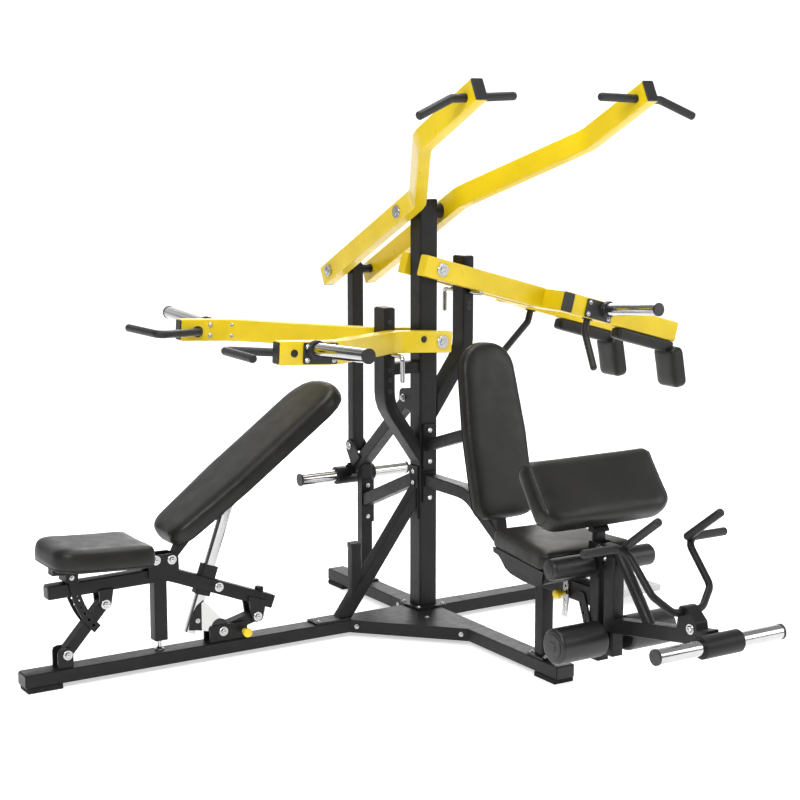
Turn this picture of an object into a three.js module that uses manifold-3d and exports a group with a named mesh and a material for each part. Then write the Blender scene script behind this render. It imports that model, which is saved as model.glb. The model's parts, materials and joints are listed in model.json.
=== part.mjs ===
// Multi station home gym on a four-armed floor frame, in millimetres, +Z up.
// Every station is laid out from the centre column: +X squat station, -X bench,
// -Y seat and leg station, +Y weight lever of the lat arms.
import * as THREE from 'three';
import { mergeVertices } from 'three/addons/utils/BufferGeometryUtils.js';
import Module from 'manifold-3d';

const wasm = await Module();
wasm.setup();

// ---- driving dimensions ---------------------------------------------------
const GAP = 0.3;              // running gap between pieces that touch
const FOOT = 18;              // height of the floor feet
const RAIL_W = 80;
const RAIL_H = 50;
const RAIL_TOP = FOOT + RAIL_H;
const COLUMN = 80;            // side of the square centre column
const COLUMN_TOP = 1688;
const ARM_T = 50;             // thickness of the yellow arm tubes
const ARM_H = 80;             // height of the yellow arm tubes
const HORN_R = 25;            // radius of the weight horns
const GRIP_R = 15;            // radius of the hand grips
const PIN_R = 7;              // radius of the clevis pins
const PLATE = 8;              // bracket plate thickness

const RAIL_A_END = -1678;     // outer end of the bench rail
const RAIL_B_END = -940;      // outer end of the seat rail
const RAIL_C_END = 985;       // outer end of the squat rail
const RAIL_D_END = 700;       // outer end of the lat rail

const LAT_PIVOT_Z = 1644;
const LAT_TILT = 26.5;        // rest angle of the lat arms
const LAT_IN = 100;           // half spacing of the lat arms at the column
const LAT_OUT = 365;          // half spacing of the lat arms at the grips
const LAT_REAR = -588;        // rear shaft, along the arm from its pivot
const LAT_FRONT = 1008;

const LEVER_Y = 88;           // pivot of the weight lever behind the column
const LEVER_Z = 902;
const LEVER_TILT = 40.5;
const LEVER_LEN = 602;
const LINK_Y = -LAT_REAR * Math.cos(LAT_TILT * Math.PI / 180); // vertical link to the lever
const LINK_TOP = LAT_PIVOT_Z + LAT_REAR * Math.sin(LAT_TILT * Math.PI / 180);
const LINK_LOW = 637;

const PRESS_X = 27;
const PRESS_Z = 1140;
const PRESS_TILT = 3.5;
const SQUAT_Z = 1420;
const SQUAT_TILT = 15.4;
const ARM_IN = 70;            // half spacing of press and squat arms at the column
const PRESS_OUT = 400;        // half spacing of the press arms at the handles
const SQUAT_OUT = 193;        // half spacing of the squat arms at the pads

const POST_A_X = -180;        // gooseneck post under the press arms
const POST_C_X = 186;         // gooseneck post under the squat yoke
const PIN_A_Z = 1100;         // rest pin under the press arms
const PIN_C_Z = 1324;         // rest pin under the squat yoke

const SEAT_HINGE = [-700, 415];
const LEG_PIVOT = [-1163, 545];
const ROLLER = [-1195, 243];
const LEG_HORN = [-1735, 353];
const CURL = [-1584, 425];

const BENCH_F0 = [-1519, 115];   // front link, base pivot
const BENCH_F1 = [-1371, 280];   // front link, beam pivot
const BENCH_R0 = [-905, 106];    // rear link, base pivot
const BENCH_R1 = [-762, 142];    // rear link, beam pivot
const BENCH_SEAT = [-1173, 415]; // seat hinge
const BENCH_BACK = [-1110, 410]; // backrest hinge
const STRUT_P = [-964, 308];     // strut guide on the beam
const STRUT_T = [-863.5, 590.5]; // strut pivot under the backrest
const BACK_TILT = 35.8;
const BACK_ORIGIN = [-1108, 497];   // lower end of the bench back's face
const BENCH_SEAT_TILT = 3.5;
const BENCH_PAD_LOW = -3;        // underside of the bench seat pad, over its hinge
const REST_TOP = -433;           // front face of the fixed backrest at its top
const REST_LOW = -590;
const REST_THICK = 54;
const KNEE = [-1128, 489];       // axle of the upper foam rollers
const KNEE_R = 38;

// ---- materials --------------------------------------------------------------
const look = {
  black: { color: 0x1b1b1d, roughness: 0.5, metalness: 0.35 },
  yellow: { color: 0xf2d40a, roughness: 0.32, metalness: 0.1 },
  chrome: { color: 0xd9dadd, roughness: 0.16, metalness: 1 },
  vinyl: { color: 0x232220, roughness: 0.48, metalness: 0 },
  foam: { color: 0x242424, roughness: 0.7, metalness: 0 },
  grip: { color: 0x202022, roughness: 0.6, metalness: 0 },
  tread: { color: 0xb4b6b8, roughness: 0.4, metalness: 0.8 },
  knob: { color: 0xf0cf12, roughness: 0.4, metalness: 0 },
};

// ---- solids -------------------------------------------------------------------
const rad = (degrees) => degrees * Math.PI / 180;

function solid(geometry) {
  const g = geometry.clone();
  g.deleteAttribute('normal');
  g.deleteAttribute('uv');
  const merged = mergeVertices(g, 1e-3);
  const index = Uint32Array.from(merged.index.array);
  return new wasm.Manifold(new wasm.Mesh({
    numProp: 3,
    vertProperties: Float32Array.from(merged.attributes.position.array),
    triVerts: index,
  }));
}

function geometryOf(body) {
  const mesh = body.getMesh();
  const g = new THREE.BufferGeometry();
  g.setAttribute('position', new THREE.BufferAttribute(Float32Array.from(mesh.vertProperties), 3));
  g.setIndex(new THREE.BufferAttribute(Uint32Array.from(mesh.triVerts), 1));
  return g;
}

function join(...parts) {
  return geometryOf(parts.map(solid).reduce((a, b) => a.add(b)));
}

function cut(base, ...tools) {
  return geometryOf(tools.map(solid).reduce((a, b) => a.subtract(b), solid(base)));
}

// Block between two corners, all edges along its longest side rounded by `r`.
function block(min, max, r = 0) {
  const size = max.map((v, i) => v - min[i]);
  const mid = max.map((v, i) => (v + min[i]) / 2);
  const long = size.indexOf(Math.max(...size));
  const dir = new THREE.Vector3().setComponent(long, 1);
  const start = new THREE.Vector3(...mid).addScaledVector(dir, -size[long] / 2);
  const end = new THREE.Vector3(...mid).addScaledVector(dir, size[long] / 2);
  if (long === 2) return tube(start, end, size[0], size[1], [0, 1, 0], r);
  return tube(start, end, size[1 - long], size[2], [0, 0, 1], r);
}

// Rectangular profile with small round corners, run straight from `a` to `b`.
// `h` is measured along `up`, `w` across it.
function tube(a, b, w, h, up = [0, 0, 1], r = 4) {
  const from = new THREE.Vector3(...a);
  const to = new THREE.Vector3(...b);
  const profile = r > 0 ? filleted([[-w / 2, -h / 2], [w / 2, -h / 2], [w / 2, h / 2],
    [-w / 2, h / 2]], r, 1) : [[-w / 2, -h / 2], [w / 2, -h / 2], [w / 2, h / 2], [-w / 2, h / 2]];
  const g = new THREE.ExtrudeGeometry(shapeOf(profile), {
    depth: from.distanceTo(to), bevelEnabled: false,
  });
  const z = to.clone().sub(from).normalize();
  const x = new THREE.Vector3(...up).cross(z).normalize();
  const y = z.clone().cross(x);
  g.applyMatrix4(new THREE.Matrix4().makeBasis(x, y, z).setPosition(from));
  return g;
}

function shapeOf(points) {
  const pts = points.map(([x, y]) => new THREE.Vector2(x, y));
  if (THREE.ShapeUtils.isClockWise(pts)) pts.reverse();
  return new THREE.Shape(pts);
}

// Corner of a path replaced by an arc of radius r, `steps` chords.
function cornerArc(p, q, s, r, steps) {
  const a = new THREE.Vector3().subVectors(p, q);
  const b = new THREE.Vector3().subVectors(s, q);
  const la = a.length();
  const lb = b.length();
  a.normalize();
  b.normalize();
  const half = a.angleTo(b) / 2;
  if (r <= 0 || half > rad(89.5)) return [q.clone()];
  const back = Math.min(r / Math.tan(half), la * 0.499, lb * 0.499);
  const radius = back * Math.tan(half);
  const centre = a.clone().add(b).normalize().multiplyScalar(radius / Math.sin(half)).add(q);
  const start = q.clone().addScaledVector(a, back).sub(centre);
  const end = q.clone().addScaledVector(b, back).sub(centre);
  const turn = start.angleTo(end);
  const axis = start.clone().cross(end).normalize();
  const out = [];
  for (let i = 0; i <= steps; i += 1) {
    out.push(start.clone().applyAxisAngle(axis, turn * i / steps).add(centre));
  }
  return out;
}

// Closed outline with rounded corners; a corner may carry its own radius.
function filleted(points, r, steps = 3) {
  const out = [];
  const n = points.length;
  const at = (i) => new THREE.Vector3(points[(i + n) % n][0], points[(i + n) % n][1], 0);
  for (let i = 0; i < n; i += 1) {
    const own = points[i][2] ?? r;
    for (const v of cornerArc(at(i - 1), at(i), at(i + 1), own, steps)) out.push([v.x, v.y]);
  }
  return out;
}

// Flat outline raised `thick` along its normal, from level `low`, edges chamfered by `edge`.
// plane 'xy' keeps (x, y), 'xz' lays the outline on X and Z, 'yz' on Y and Z.
function slab(points, plane, low, thick, edge = 0, holes = [], rounds = 1) {
  const shape = shapeOf(points);
  for (const hole of holes) shape.holes.push(new THREE.Path(ring(hole)));
  const g = new THREE.ExtrudeGeometry(shape, edge > 0 ? {
    depth: thick - 2 * edge, bevelEnabled: true, bevelThickness: edge, bevelSize: edge,
    bevelOffset: -edge, bevelSegments: rounds,
  } : { depth: thick, bevelEnabled: false });
  if (edge > 0) g.translate(0, 0, edge);
  if (plane === 'xz') {
    g.rotateX(Math.PI / 2);
    g.translate(0, low + thick, 0);
  }
  if (plane === 'yz') {
    g.applyMatrix4(new THREE.Matrix4().set(0, 0, 1, 0, 1, 0, 0, 0, 0, 1, 0, 0, 0, 0, 0, 1));
    g.translate(low, 0, 0);
  }
  if (plane === 'xy') g.translate(0, 0, low);
  return g;
}

function ring([x, y, r], sides = 8) {
  const pts = [];
  for (let i = 0; i < sides; i += 1) {
    const t = -2 * Math.PI * i / sides;
    pts.push(new THREE.Vector2(x + r * Math.cos(t), y + r * Math.sin(t)));
  }
  return pts;
}

// Outline of a bent tube of width w whose centre line is filleted with radius r.
function bentOutline(points, w, r, steps = 3) {
  const path = centreLine(points.map(([x, y]) => [x, y, 0]), r, steps);
  const left = [];
  const right = [];
  path.forEach((station) => {
    const side = new THREE.Vector3(-station.t.y, station.t.x, 0).multiplyScalar(w / 2);
    left.push([station.p.x + side.x, station.p.y + side.y]);
    right.push([station.p.x - side.x, station.p.y - side.y]);
  });
  return left.concat(right.reverse());
}

// Stations (point and tangent) along a polyline with rounded corners.
function centreLine(points, r, steps) {
  const v = points.map((p) => new THREE.Vector3(...p));
  const stations = [{ p: v[0], t: v[1].clone().sub(v[0]).normalize() }];
  for (let i = 1; i < v.length - 1; i += 1) {
    const arc = cornerArc(v[i - 1], v[i], v[i + 1], r, steps);
    const t0 = v[i].clone().sub(v[i - 1]).normalize();
    const t1 = v[i + 1].clone().sub(v[i]).normalize();
    arc.forEach((p, k) => {
      const f = arc.length === 1 ? 0.5 : k / (arc.length - 1);
      const turn = t0.angleTo(t1);
      const axis = t0.clone().cross(t1).normalize();
      stations.push({ p, t: t0.clone().applyAxisAngle(axis, turn * f) });
    });
  }
  const n = v.length;
  stations.push({ p: v[n - 1], t: v[n - 1].clone().sub(v[n - 2]).normalize() });
  return stations;
}

// Curve whose equal parameter steps fall on the stations of a rounded polyline.
class StationCurve extends THREE.Curve {
  constructor(stations) {
    super();
    this.stations = stations;
  }

  at(u) {
    const last = this.stations.length - 1;
    return this.stations[Math.min(last, Math.max(0, Math.round(u * last)))];
  }

  getPoint(u, target = new THREE.Vector3()) {
    return target.copy(this.at(u).p);
  }

  getPointAt(u, target = new THREE.Vector3()) {
    return this.getPoint(u, target);
  }

  getTangentAt(u, target = new THREE.Vector3()) {
    return target.copy(this.at(u).t);
  }
}

// Round bar bent along a polyline with rounded corners.
function bar(points, radius, bend = 30, sides = 12, steps = 4) {
  const curve = new StationCurve(centreLine(points, bend, steps));
  const outline = [];
  for (let i = 0; i < sides; i += 1) {
    const t = 2 * Math.PI * i / sides;
    outline.push(new THREE.Vector2(radius * Math.cos(t), radius * Math.sin(t)));
  }
  return new THREE.ExtrudeGeometry(new THREE.Shape(outline), {
    steps: curve.stations.length - 1, extrudePath: curve, bevelEnabled: false,
  });
}

// Round rod from a to b with chamfered ends.
function rod(a, b, radius, edge = 0, sides = 16) {
  const from = new THREE.Vector3(...a);
  const to = new THREE.Vector3(...b);
  const len = from.distanceTo(to);
  const plain = [[0, 0], [radius, 0], [radius, len], [0, len]];
  return turned(edge > 0 ? [[0, 0], [radius - edge, 0], [radius, edge], [radius, len - edge],
    [radius - edge, len], [0, len]] : plain, from, to, sides);
}

// Profile of (radius, distance) pairs turned about the line from a towards b.
function turned(profile, a, b, sides = 20) {
  const pts = profile.map(([r, d]) => new THREE.Vector2(r, d));
  const g = new THREE.LatheGeometry(pts, sides);
  const axis = new THREE.Vector3().subVectors(new THREE.Vector3(...b), new THREE.Vector3(...a));
  g.applyQuaternion(new THREE.Quaternion().setFromUnitVectors(
    new THREE.Vector3(0, 1, 0), axis.normalize()));
  g.translate(...a);
  return g;
}

const rodX = (y, z, x0, x1, r, edge, sides) => rod([x0, y, z], [x1, y, z], r, edge, sides);
const rodY = (x, z, y0, y1, r, edge, sides) => rod([x, y0, z], [x, y1, z], r, edge, sides);

// Straight sloped tube outline whose ends are cut level ('h'), upright ('v') or square ('s').
function sloped(p0, p1, height, cut0, cut1) {
  const dx = p1[0] - p0[0];
  const dz = p1[1] - p0[1];
  const len = Math.hypot(dx, dz);
  const corner = (p, side, how) => {
    const x = p[0] - side * dz / len * height / 2;
    const z = p[1] + side * dx / len * height / 2;
    if (how === 'h') return [x + dx * (p[1] - z) / dz, p[1]];
    if (how === 'v') return [p[0], z + dz * (p[0] - x) / dx];
    return [x, z];
  };
  return [corner(p0, -1, cut0), corner(p1, -1, cut1), corner(p1, 1, cut1), corner(p0, 1, cut0)];
}

function add(group, name, geometry, kind) {
  const clean = geometry.clone();
  const mesh = new THREE.Mesh(clean, new THREE.MeshStandardMaterial(look[kind]));
  mesh.name = name;
  group.add(mesh);
  return mesh;
}

function stationGroup(parent, x, y, z, axis, degrees) {
  const group = new THREE.Group();
  group.position.set(x, y, z);
  if (axis) group.rotation[axis] = rad(degrees);
  parent.add(group);
  return group;
}

// ---- floor frame ----------------------------------------------------------------
function floorFrame(g) {
  const w = RAIL_W / 2;
  const hub = [[-364, -w], [-w, -381], [w, -381], [w, -w], [180, -w], [180, w], [w, w],
    [w, 180], [-w, 180], [-w, w], [-364, w]];
  add(g, 'base_hub', slab(hub, 'xy', FOOT, RAIL_H, 2), 'black');

  const railA = tube([-364 - GAP, 0, FOOT + RAIL_H / 2], [RAIL_A_END, 0, FOOT + RAIL_H / 2],
    RAIL_W, RAIL_H);
  const footA = block([-1672, -43, 0], [-1545, 43, FOOT + 1], 3);
  add(g, 'bench_rail', join(railA, footA, clevis(BENCH_F0, -1556, -1498, 140),
    pinY(BENCH_F0, 36), clevis(BENCH_R0, -960, -806, 132), pinY(BENCH_R0, 36)), 'black');

  const railB = tube([0, -381 - GAP, FOOT + RAIL_H / 2], [0, RAIL_B_END, FOOT + RAIL_H / 2],
    RAIL_W, RAIL_H);
  add(g, 'seat_rail', join(railB, block([-43, -932, 0], [43, -812, FOOT + 1], 3)), 'black');

  const railD = tube([0, 180 + GAP, FOOT + RAIL_H / 2], [0, RAIL_D_END, FOOT + RAIL_H / 2],
    RAIL_W, RAIL_H);
  add(g, 'lat_rail', join(railD, block([-43, 576, 0], [43, 696, FOOT + 1], 3), ...latStand()),
    'black');

  const railC = tube([180 + GAP, 0, FOOT + RAIL_H / 2], [RAIL_C_END, 0, FOOT + RAIL_H / 2],
    RAIL_W, RAIL_H);
  add(g, 'squat_rail', join(railC, block([855, -43, 0], [975, 43, FOOT + 1], 3)), 'black');
}

// Two upright bracket plates on a rail with rounded tops.
function clevis([, z], x0, x1, top) {
  const outline = filleted([[x0, RAIL_TOP - 3, 0], [x1, RAIL_TOP - 3, 0], [x1, top], [x0, top]],
    16, 2);
  return join(slab(outline, 'xz', 22, PLATE), slab(outline, 'xz', -22 - PLATE, PLATE));
}

const pinY = ([x, z], half) => rodY(x, z, -half, half, PIN_R, 0, 10);
const boreY = ([x, z], r, half = 60) => rodY(x, z, -half, half, r, 0, 10);
const pinX = ([y, z], half) => rodX(y, z, -half, half, PIN_R, 0, 10);
const boreX = ([y, z], r, half = 60) => rodX(y, z, -half, half, r, 0, 10);

// Footplate of the squat station: tread plate with turned-down edges, carried by the rail.
function treadPlatform(g) {
  const x0 = 800;
  const x1 = 1000;
  const half = 285;
  const t = 4;
  const top = RAIL_TOP + GAP + t;
  const rim = top - 26;
  const sides = [-1, 1].map((s) => block([x0, s * half - (s > 0 ? t : 0), rim],
    [x1, s * half + (s < 0 ? t : 0), top - 1]));
  const end = block([x1 - t, -half, rim], [x1, half, top - 1]);
  const back = [-1, 1].map((s) => block([x0, s > 0 ? 46 : -half, rim], [x0 + t, s > 0 ? half : -46,
    top - 1]));
  add(g, 'tread_platform', join(block([x0, -half, RAIL_TOP + GAP], [x1, half, top]), ...sides, end,
    ...back), 'tread');
}

// ---- centre column ----------------------------------------------------------------
function column(g) {
  const c = COLUMN / 2;
  const shaft = tube([0, 0, RAIL_TOP + GAP], [0, 0, COLUMN_TOP], COLUMN, COLUMN, [0, 1, 0], 6);
  const foot = slab(filleted([[-70, -70], [70, -70], [70, 70], [-70, 70]], 10, 2), 'xy',
    RAIL_TOP + GAP, PLATE);
  const latTube = rodX(0, LAT_PIVOT_Z, -LAT_IN + ARM_T / 2 + GAP, LAT_IN - ARM_T / 2 - GAP, 30);
  const bosses = [PRESS_Z, SQUAT_Z].map((z) => rodY(PRESS_X - 2, z, -ARM_IN + ARM_T / 2 + GAP,
    ARM_IN - ARM_T / 2 - GAP, 34));
  const lug = filleted([[c - 3, 858, 0], [118, 870], [118, 936], [c - 3, 948, 0]], 22, 3);
  const lugs = [-39, 31].map((x) => slab(lug, 'yz', x, PLATE));
  const body = join(shaft, foot, latTube, ...bosses, ...lugs, pinX([LEVER_Y, LEVER_Z], 45));
  add(g, 'column', cut(body, rodX(0, LAT_PIVOT_Z, -120, 120, 12.4, 0, 16),
    rodY(PRESS_X, PRESS_Z, -90, 90, 10.4, 0, 16),
    rodY(PRESS_X, SQUAT_Z, -90, 90, 10.4, 0, 16)), 'black');
}

// Through bolts of the three arm pivots, with their wide heads.
function pivotBolts(g) {
  add(g, 'lat_pivot_bolt', join(rodX(0, LAT_PIVOT_Z, -134, 134, 12, 0, 16),
    ...[-1, 1].map((s) => rodX(0, LAT_PIVOT_Z, s * (LAT_IN + ARM_T / 2 + GAP + 0.2), s * 134, 21, 2,
      16))), 'chrome');
  for (const [name, z] of [['press_pivot_bolt', PRESS_Z], ['squat_pivot_bolt', SQUAT_Z]]) {
    const face = ARM_IN + ARM_T / 2 + GAP + 0.2;
    add(g, name, join(rodY(PRESS_X, z, -face - 7, face + 7, 10, 0, 16),
      ...[-1, 1].map((s) => rodY(PRESS_X, z, s * face, s * (face + 8), 21, 2, 16))), 'chrome');
  }
}

// Diagonal brace between bench rail and column, with the rubber-capped stop post on it.
function brace(g) {
  const leg = slab(sloped([-377, RAIL_TOP + 4], [-44, 523], 50, 'h', 'v'), 'xz', -25, 50, 3);
  const foot = block([-512, -38, RAIL_TOP + GAP], [-358, 38, RAIL_TOP + GAP + PLATE]);
  const head = block([-40 - GAP - PLATE, -30, 432], [-40 - GAP, 30, 642]);
  const post = tube([-320, 0, 152], [-320, 0, 346], 40, 40, [0, 1, 0], 3);
  const cap = tube([-320, 0, 345], [-320, 0, 365], 45, 45, [0, 1, 0], 6);
  add(g, 'diagonal_brace', join(leg, foot, head, post, cap), 'black');
}

// Post under the weight lever and the tie from it to the column.
function latStand() {
  const at = (y) => LEVER_Z - (y - LEVER_Y) * Math.tan(rad(LEVER_TILT))
    - 25 / Math.cos(rad(LEVER_TILT)) - 3.5;
  const post = slab([[435, RAIL_TOP + 4], [475, RAIL_TOP + 4], [475, at(475)], [435, at(435)]],
    'yz', -25, 50, 2);
  const foot = block([-38, 405, RAIL_TOP - 1], [38, 505, RAIL_TOP + PLATE]);
  const leg = slab(sloped([437, 417], [44, 581], 50, 'v', 'v'), 'yz', -25, 50, 3);
  const head = block([-30, 40 + GAP, 505], [30, 40 + GAP + PLATE, 645]);
  const tail = block([-30, 437 - PLATE, 322], [30, 437, 505]);
  return [post, foot, leg, head, tail];
}

// Upright rest post that curves into the column.
function gooseneck(x, top, tieZ, pinZ) {
  const s = Math.sign(x);
  const line = [[x, top], [x, top - 375], [s * 20, top - 375 - 200 * (Math.abs(x) - 20) / 140]];
  const parts = [slab(bentOutline(line, 50, 150), 'xz', -40, 80, 4)];
  if (tieZ) parts.push(block([s > 0 ? 30 : x, -30, tieZ - 22], [s > 0 ? x : -30, 30, tieZ + 22], 3));
  const c = COLUMN / 2 + GAP;
  return cut(join(...parts), block([-c, -60, 300], [c, 60, 1600]),
    rodY(x, pinZ, -60, 60, 9.7, 0, 12));
}

function goosenecks(g) {
  add(g, 'press_rest_post', gooseneck(POST_A_X, 1276, 1038, PIN_A_Z), 'black');
  add(g, 'squat_rest_post', gooseneck(POST_C_X, 1462, 0, PIN_C_Z), 'black');
  add(g, 'press_rest_pin', bar([[POST_A_X, 112, PIN_A_Z], [POST_A_X, -132, PIN_A_Z],
    [POST_A_X, -132, PIN_A_Z - 100]], 9, 16, 12, 3), 'chrome');
  add(g, 'squat_rest_pin', bar([[POST_C_X, -132, PIN_C_Z], [POST_C_X, 132, PIN_C_Z],
    [POST_C_X, 132, PIN_C_Z - 92]], 9, 16, 12, 3), 'chrome');
}

// ---- lat station ------------------------------------------------------------------
function latArm(side) {
  const path = [[side * LAT_IN, -LAT_REAR + 64], [side * LAT_IN, -125], [side * LAT_OUT, -620],
    [side * LAT_OUT, -LAT_FRONT]];
  return cut(slab(bentOutline(path, ARM_T, 130), 'xy', -ARM_H / 2, ARM_H, 4),
    rodX(0, 0, side * 60, side * 140, 12.4, 0, 16),
    rodX(-LAT_REAR, 0, side * 60, side * 140, 10.4, 0, 14),
    rod([side * 170, -952, 6], [side * 440, -957, -8], GRIP_R + 0.8, 0, 12));
}

function latStation(g) {
  const tilted = stationGroup(g, 0, 0, LAT_PIVOT_Z, 'x', -LAT_TILT);
  for (const [side, name] of [[-1, 'left'], [1, 'right']]) {
    add(tilted, `lat_arm_${name}`, latArm(side), 'yellow');
    add(tilted, `lat_grip_${name}`, bar([[side * 180, -952.2, 5.5], [side * 447, -957.1, -8.4],
      [side * 591, -948, -70]], GRIP_R, 26, 12, 3), 'grip');
  }

  const stem = slab(filleted([[LINK_Y - 25, LINK_LOW - 25], [LINK_Y + 25, LINK_LOW - 25],
    [LINK_Y + 25, LINK_TOP + 27], [LINK_Y - 25, LINK_TOP + 27]], 14, 2), 'yz', -25, 50, 3);
  const shaft = rodX(LINK_Y, LINK_TOP, -134, 134, 10, 0, 14);
  const spacers = [-1, 1].map((s) => rodX(LINK_Y, LINK_TOP, s * 20, s * 74.4, 18, 0, 14));
  const heads = [-1, 1].map((s) => rodX(LINK_Y, LINK_TOP, s * 125.6, s * 134, 18, 0, 14));
  add(g, 'lat_link', cut(join(stem, shaft, ...spacers, ...heads),
    boreX([LINK_Y, LINK_LOW], PIN_R + 5, 40)), 'black');

  const lever = stationGroup(g, 0, LEVER_Y, LEVER_Z, 'x', -LEVER_TILT);
  const beam = tube([0, -25, 0], [0, LEVER_LEN, 0], 54, 50);
  const c = Math.cos(rad(LEVER_TILT));
  const s = Math.sin(rad(LEVER_TILT));
  const eye = [(LINK_Y - LEVER_Y) * c - (LINK_LOW - LEVER_Z) * s,
    (LINK_Y - LEVER_Y) * s + (LINK_LOW - LEVER_Z) * c];
  const lug = filleted([[eye[0] - 40, 0, 0], [eye[0] + 40, 0, 0], [eye[0] + 26, eye[1] + 25],
    [eye[0] - 26, eye[1] + 25]], 24, 3);
  const lugs = [26, -34].map((x) => slab(lug, 'yz', x, PLATE));
  const sleeve = rodX(LEVER_LEN, 0, -90, 90, 38, 2, 20);
  const web = block([-40, LEVER_LEN - 50, -28], [40, LEVER_LEN, 28]);
  add(lever, 'weight_lever', cut(join(beam, ...lugs, sleeve, web, pinX(eye, 42)),
    boreX([0, 0], PIN_R + 0.5), rodX(LEVER_LEN, 0, -120, 120, HORN_R + 0.4, 0, 20)), 'black');
  add(lever, 'lever_horn', hornBar([-264, LEVER_LEN, 0], [264, LEVER_LEN, 0], true), 'chrome');
}

// Plain weight horn with thicker caps at its free ends.
function hornBar(a, b, both) {
  const from = new THREE.Vector3(...a);
  const to = new THREE.Vector3(...b);
  const len = from.distanceTo(to);
  const cap = 10;
  const r = HORN_R;
  const start = both ? [[0, 0], [r + 1.5, 0], [r + 1.5, cap], [r, cap]] : [[0, 0], [r, 0]];
  const end = [[r, len - cap], [r + 1.5, len - cap], [r + 1.5, len], [0, len]];
  return turned(start.concat(end), a, b, 20);
}

// ---- press station ------------------------------------------------------------------
function pressArm(side) {
  const path = [[43, side * ARM_IN], [-218, side * ARM_IN], [-661, side * PRESS_OUT],
    [-894, side * PRESS_OUT]];
  const arm = slab(bentOutline(path, ARM_T, 130), 'xy', -42, 84, 4);
  return cut(arm, rodY(0, 0, side * 30, side * 110, 10.4, 0, 16));
}

// Weight horn on its bolted bracket plate, on the outer face of an arm tube.
function hornUnit(x0, x1, hornX, hornZ, face, tip, rise, side) {
  const y = (v) => side * v;
  const low = side > 0 ? face + GAP : -face - GAP - PLATE;
  const plate = slab(filleted([[x0, -38], [x1, -38], [x1, 38], [x0, 38]], 6, 2), 'xz', low, PLATE);
  const at = (d) => [hornX, y(d), hornZ + (d - face) * Math.tan(rad(rise))];
  return join(plate, rod(at(face + 3), at(face + 24), 33, 2, 20),
    hornBar(at(face + 5), at(tip), false));
}

function pressStation(g) {
  const tilted = stationGroup(g, PRESS_X, 0, PRESS_Z, 'y', PRESS_TILT);
  for (const [side, name] of [[-1, 'near'], [1, 'far']]) {
    add(tilted, `press_arm_${name}`, pressArm(side), 'yellow');
    add(tilted, `press_horn_${name}`, hornUnit(-802, -666, -757, 14, PRESS_OUT + ARM_T / 2, 796,
      2.7, side), 'chrome');
    const root = side * (PRESS_OUT - ARM_T / 2 - GAP);
    add(tilted, `press_handle_${name}`, join(
      bar([[-826, root, -5], [-826, root - side * 14, -5], [-1036, side * 261, -5],
        [-1049, side * 530, -5]], GRIP_R, 24, 12, 3),
      rod([-826, root, -5], [-826, root - side * 5, -5], 22, 0, 12)), 'grip');
  }
}

// ---- squat station --------------------------------------------------------------------
function squatStation(g) {
  const tilted = stationGroup(g, PRESS_X, 0, SQUAT_Z, 'y', SQUAT_TILT);
  const cross = 532;
  const end = 1124;
  const inner = [-1, 1].map((s) => block([-80, s * ARM_IN - 25, -41], [cross, s * ARM_IN + 25, 41],
    5));
  const outer = [-1, 1].map((s) => block([cross, s * SQUAT_OUT - 25, -41],
    [end, s * SQUAT_OUT + 25, 41], 5));
  const beam = block([cross - 30, -220, -41], [cross + 30, 220, 41], 5);
  add(tilted, 'squat_yoke', cut(join(beam, ...inner, ...outer),
    rodY(0, 0, -110, 110, 10.4, 0, 16)), 'yellow');

  const under = -41 - GAP;
  for (const [side, name] of [[-1, 'near'], [1, 'far']]) {
    const y = side * SQUAT_OUT;
    add(tilted, `squat_horn_${name}`, hornUnit(628, 762, 729, 12, SQUAT_OUT + ARM_T / 2, 540, 5.3,
      side), 'chrome');
    add(tilted, `squat_handle_${name}`, join(
      bar([[668, y, under], [668, y, -92], [664, y + side * 120, -237]], 14, 22, 12, 3),
      rod([668, y, under], [668, y, under - 5], 22, 0, 12)), 'grip');
    const seat = slab(filleted([[822, -90], [1126, -90], [1126, under], [822, under]], 10, 2),
      'xz', y - 29, 58, 8, [], 2);
    const block2 = slab(filleted([[1088, -78, 14], [1162, -232, 24], [1218, -205, 24],
      [1144, -51, 14]], 14, 3), 'xz', y - 64, 128, 12, [], 2);
    add(tilted, `squat_pad_${name}`, cut(join(seat, block2),
      block([700, y - 100, under], [1300, y + 100, 60])), 'vinyl');
  }
}

// ---- seat, backrest and leg station -----------------------------------------------------
// Rear face of the backrest pad at height z.
const backY = (z) => REST_TOP + REST_THICK + 1
  - (1188 - z) * (REST_TOP - REST_LOW) / 648;

// Two arms from the column to the steel backing strip of the fixed backrest.
function backSupport(g) {
  const t = PLATE;
  const plate = (z0, z1) => block([-30, -40 - GAP - t, z0], [30, -40 - GAP, z1]);
  const upper = slab(sloped([-44, 727], [-472, 860], 45, 'v', 'v'), 'yz', -22, 44, 3);
  const strip = slab([[backY(600) + 9, 600], [backY(970) + 9, 970], [backY(970) - 30, 970],
    [backY(600) - 30, 600]], 'yz', -40, 80);
  const spine = slab([[-548, 452], [-508, 470], [backY(620) + 9, 620], [backY(620) - 30, 620]],
    'yz', -22, 44);
  const line = [[-44, 587], [-330, 587], [-590, 424], [-784, 402]];
  const lower = slab(bentOutline(line, 50, 190), 'yz', -25, 50, 3);
  const stub = slab([[-640, 430], [-600, 430], [-578, 600], [-618, 600]], 'yz', -22, 44, 2);
  add(g, 'back_support', cut(join(plate(632, 812), upper, strip, spine, plate(498, 622), lower, stub,
    pinX(SEAT_HINGE, 38)), backPlane(2 * GAP), block([-60, -900, 300], [60, -785 + GAP, 600])),
  'black');
}

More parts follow.
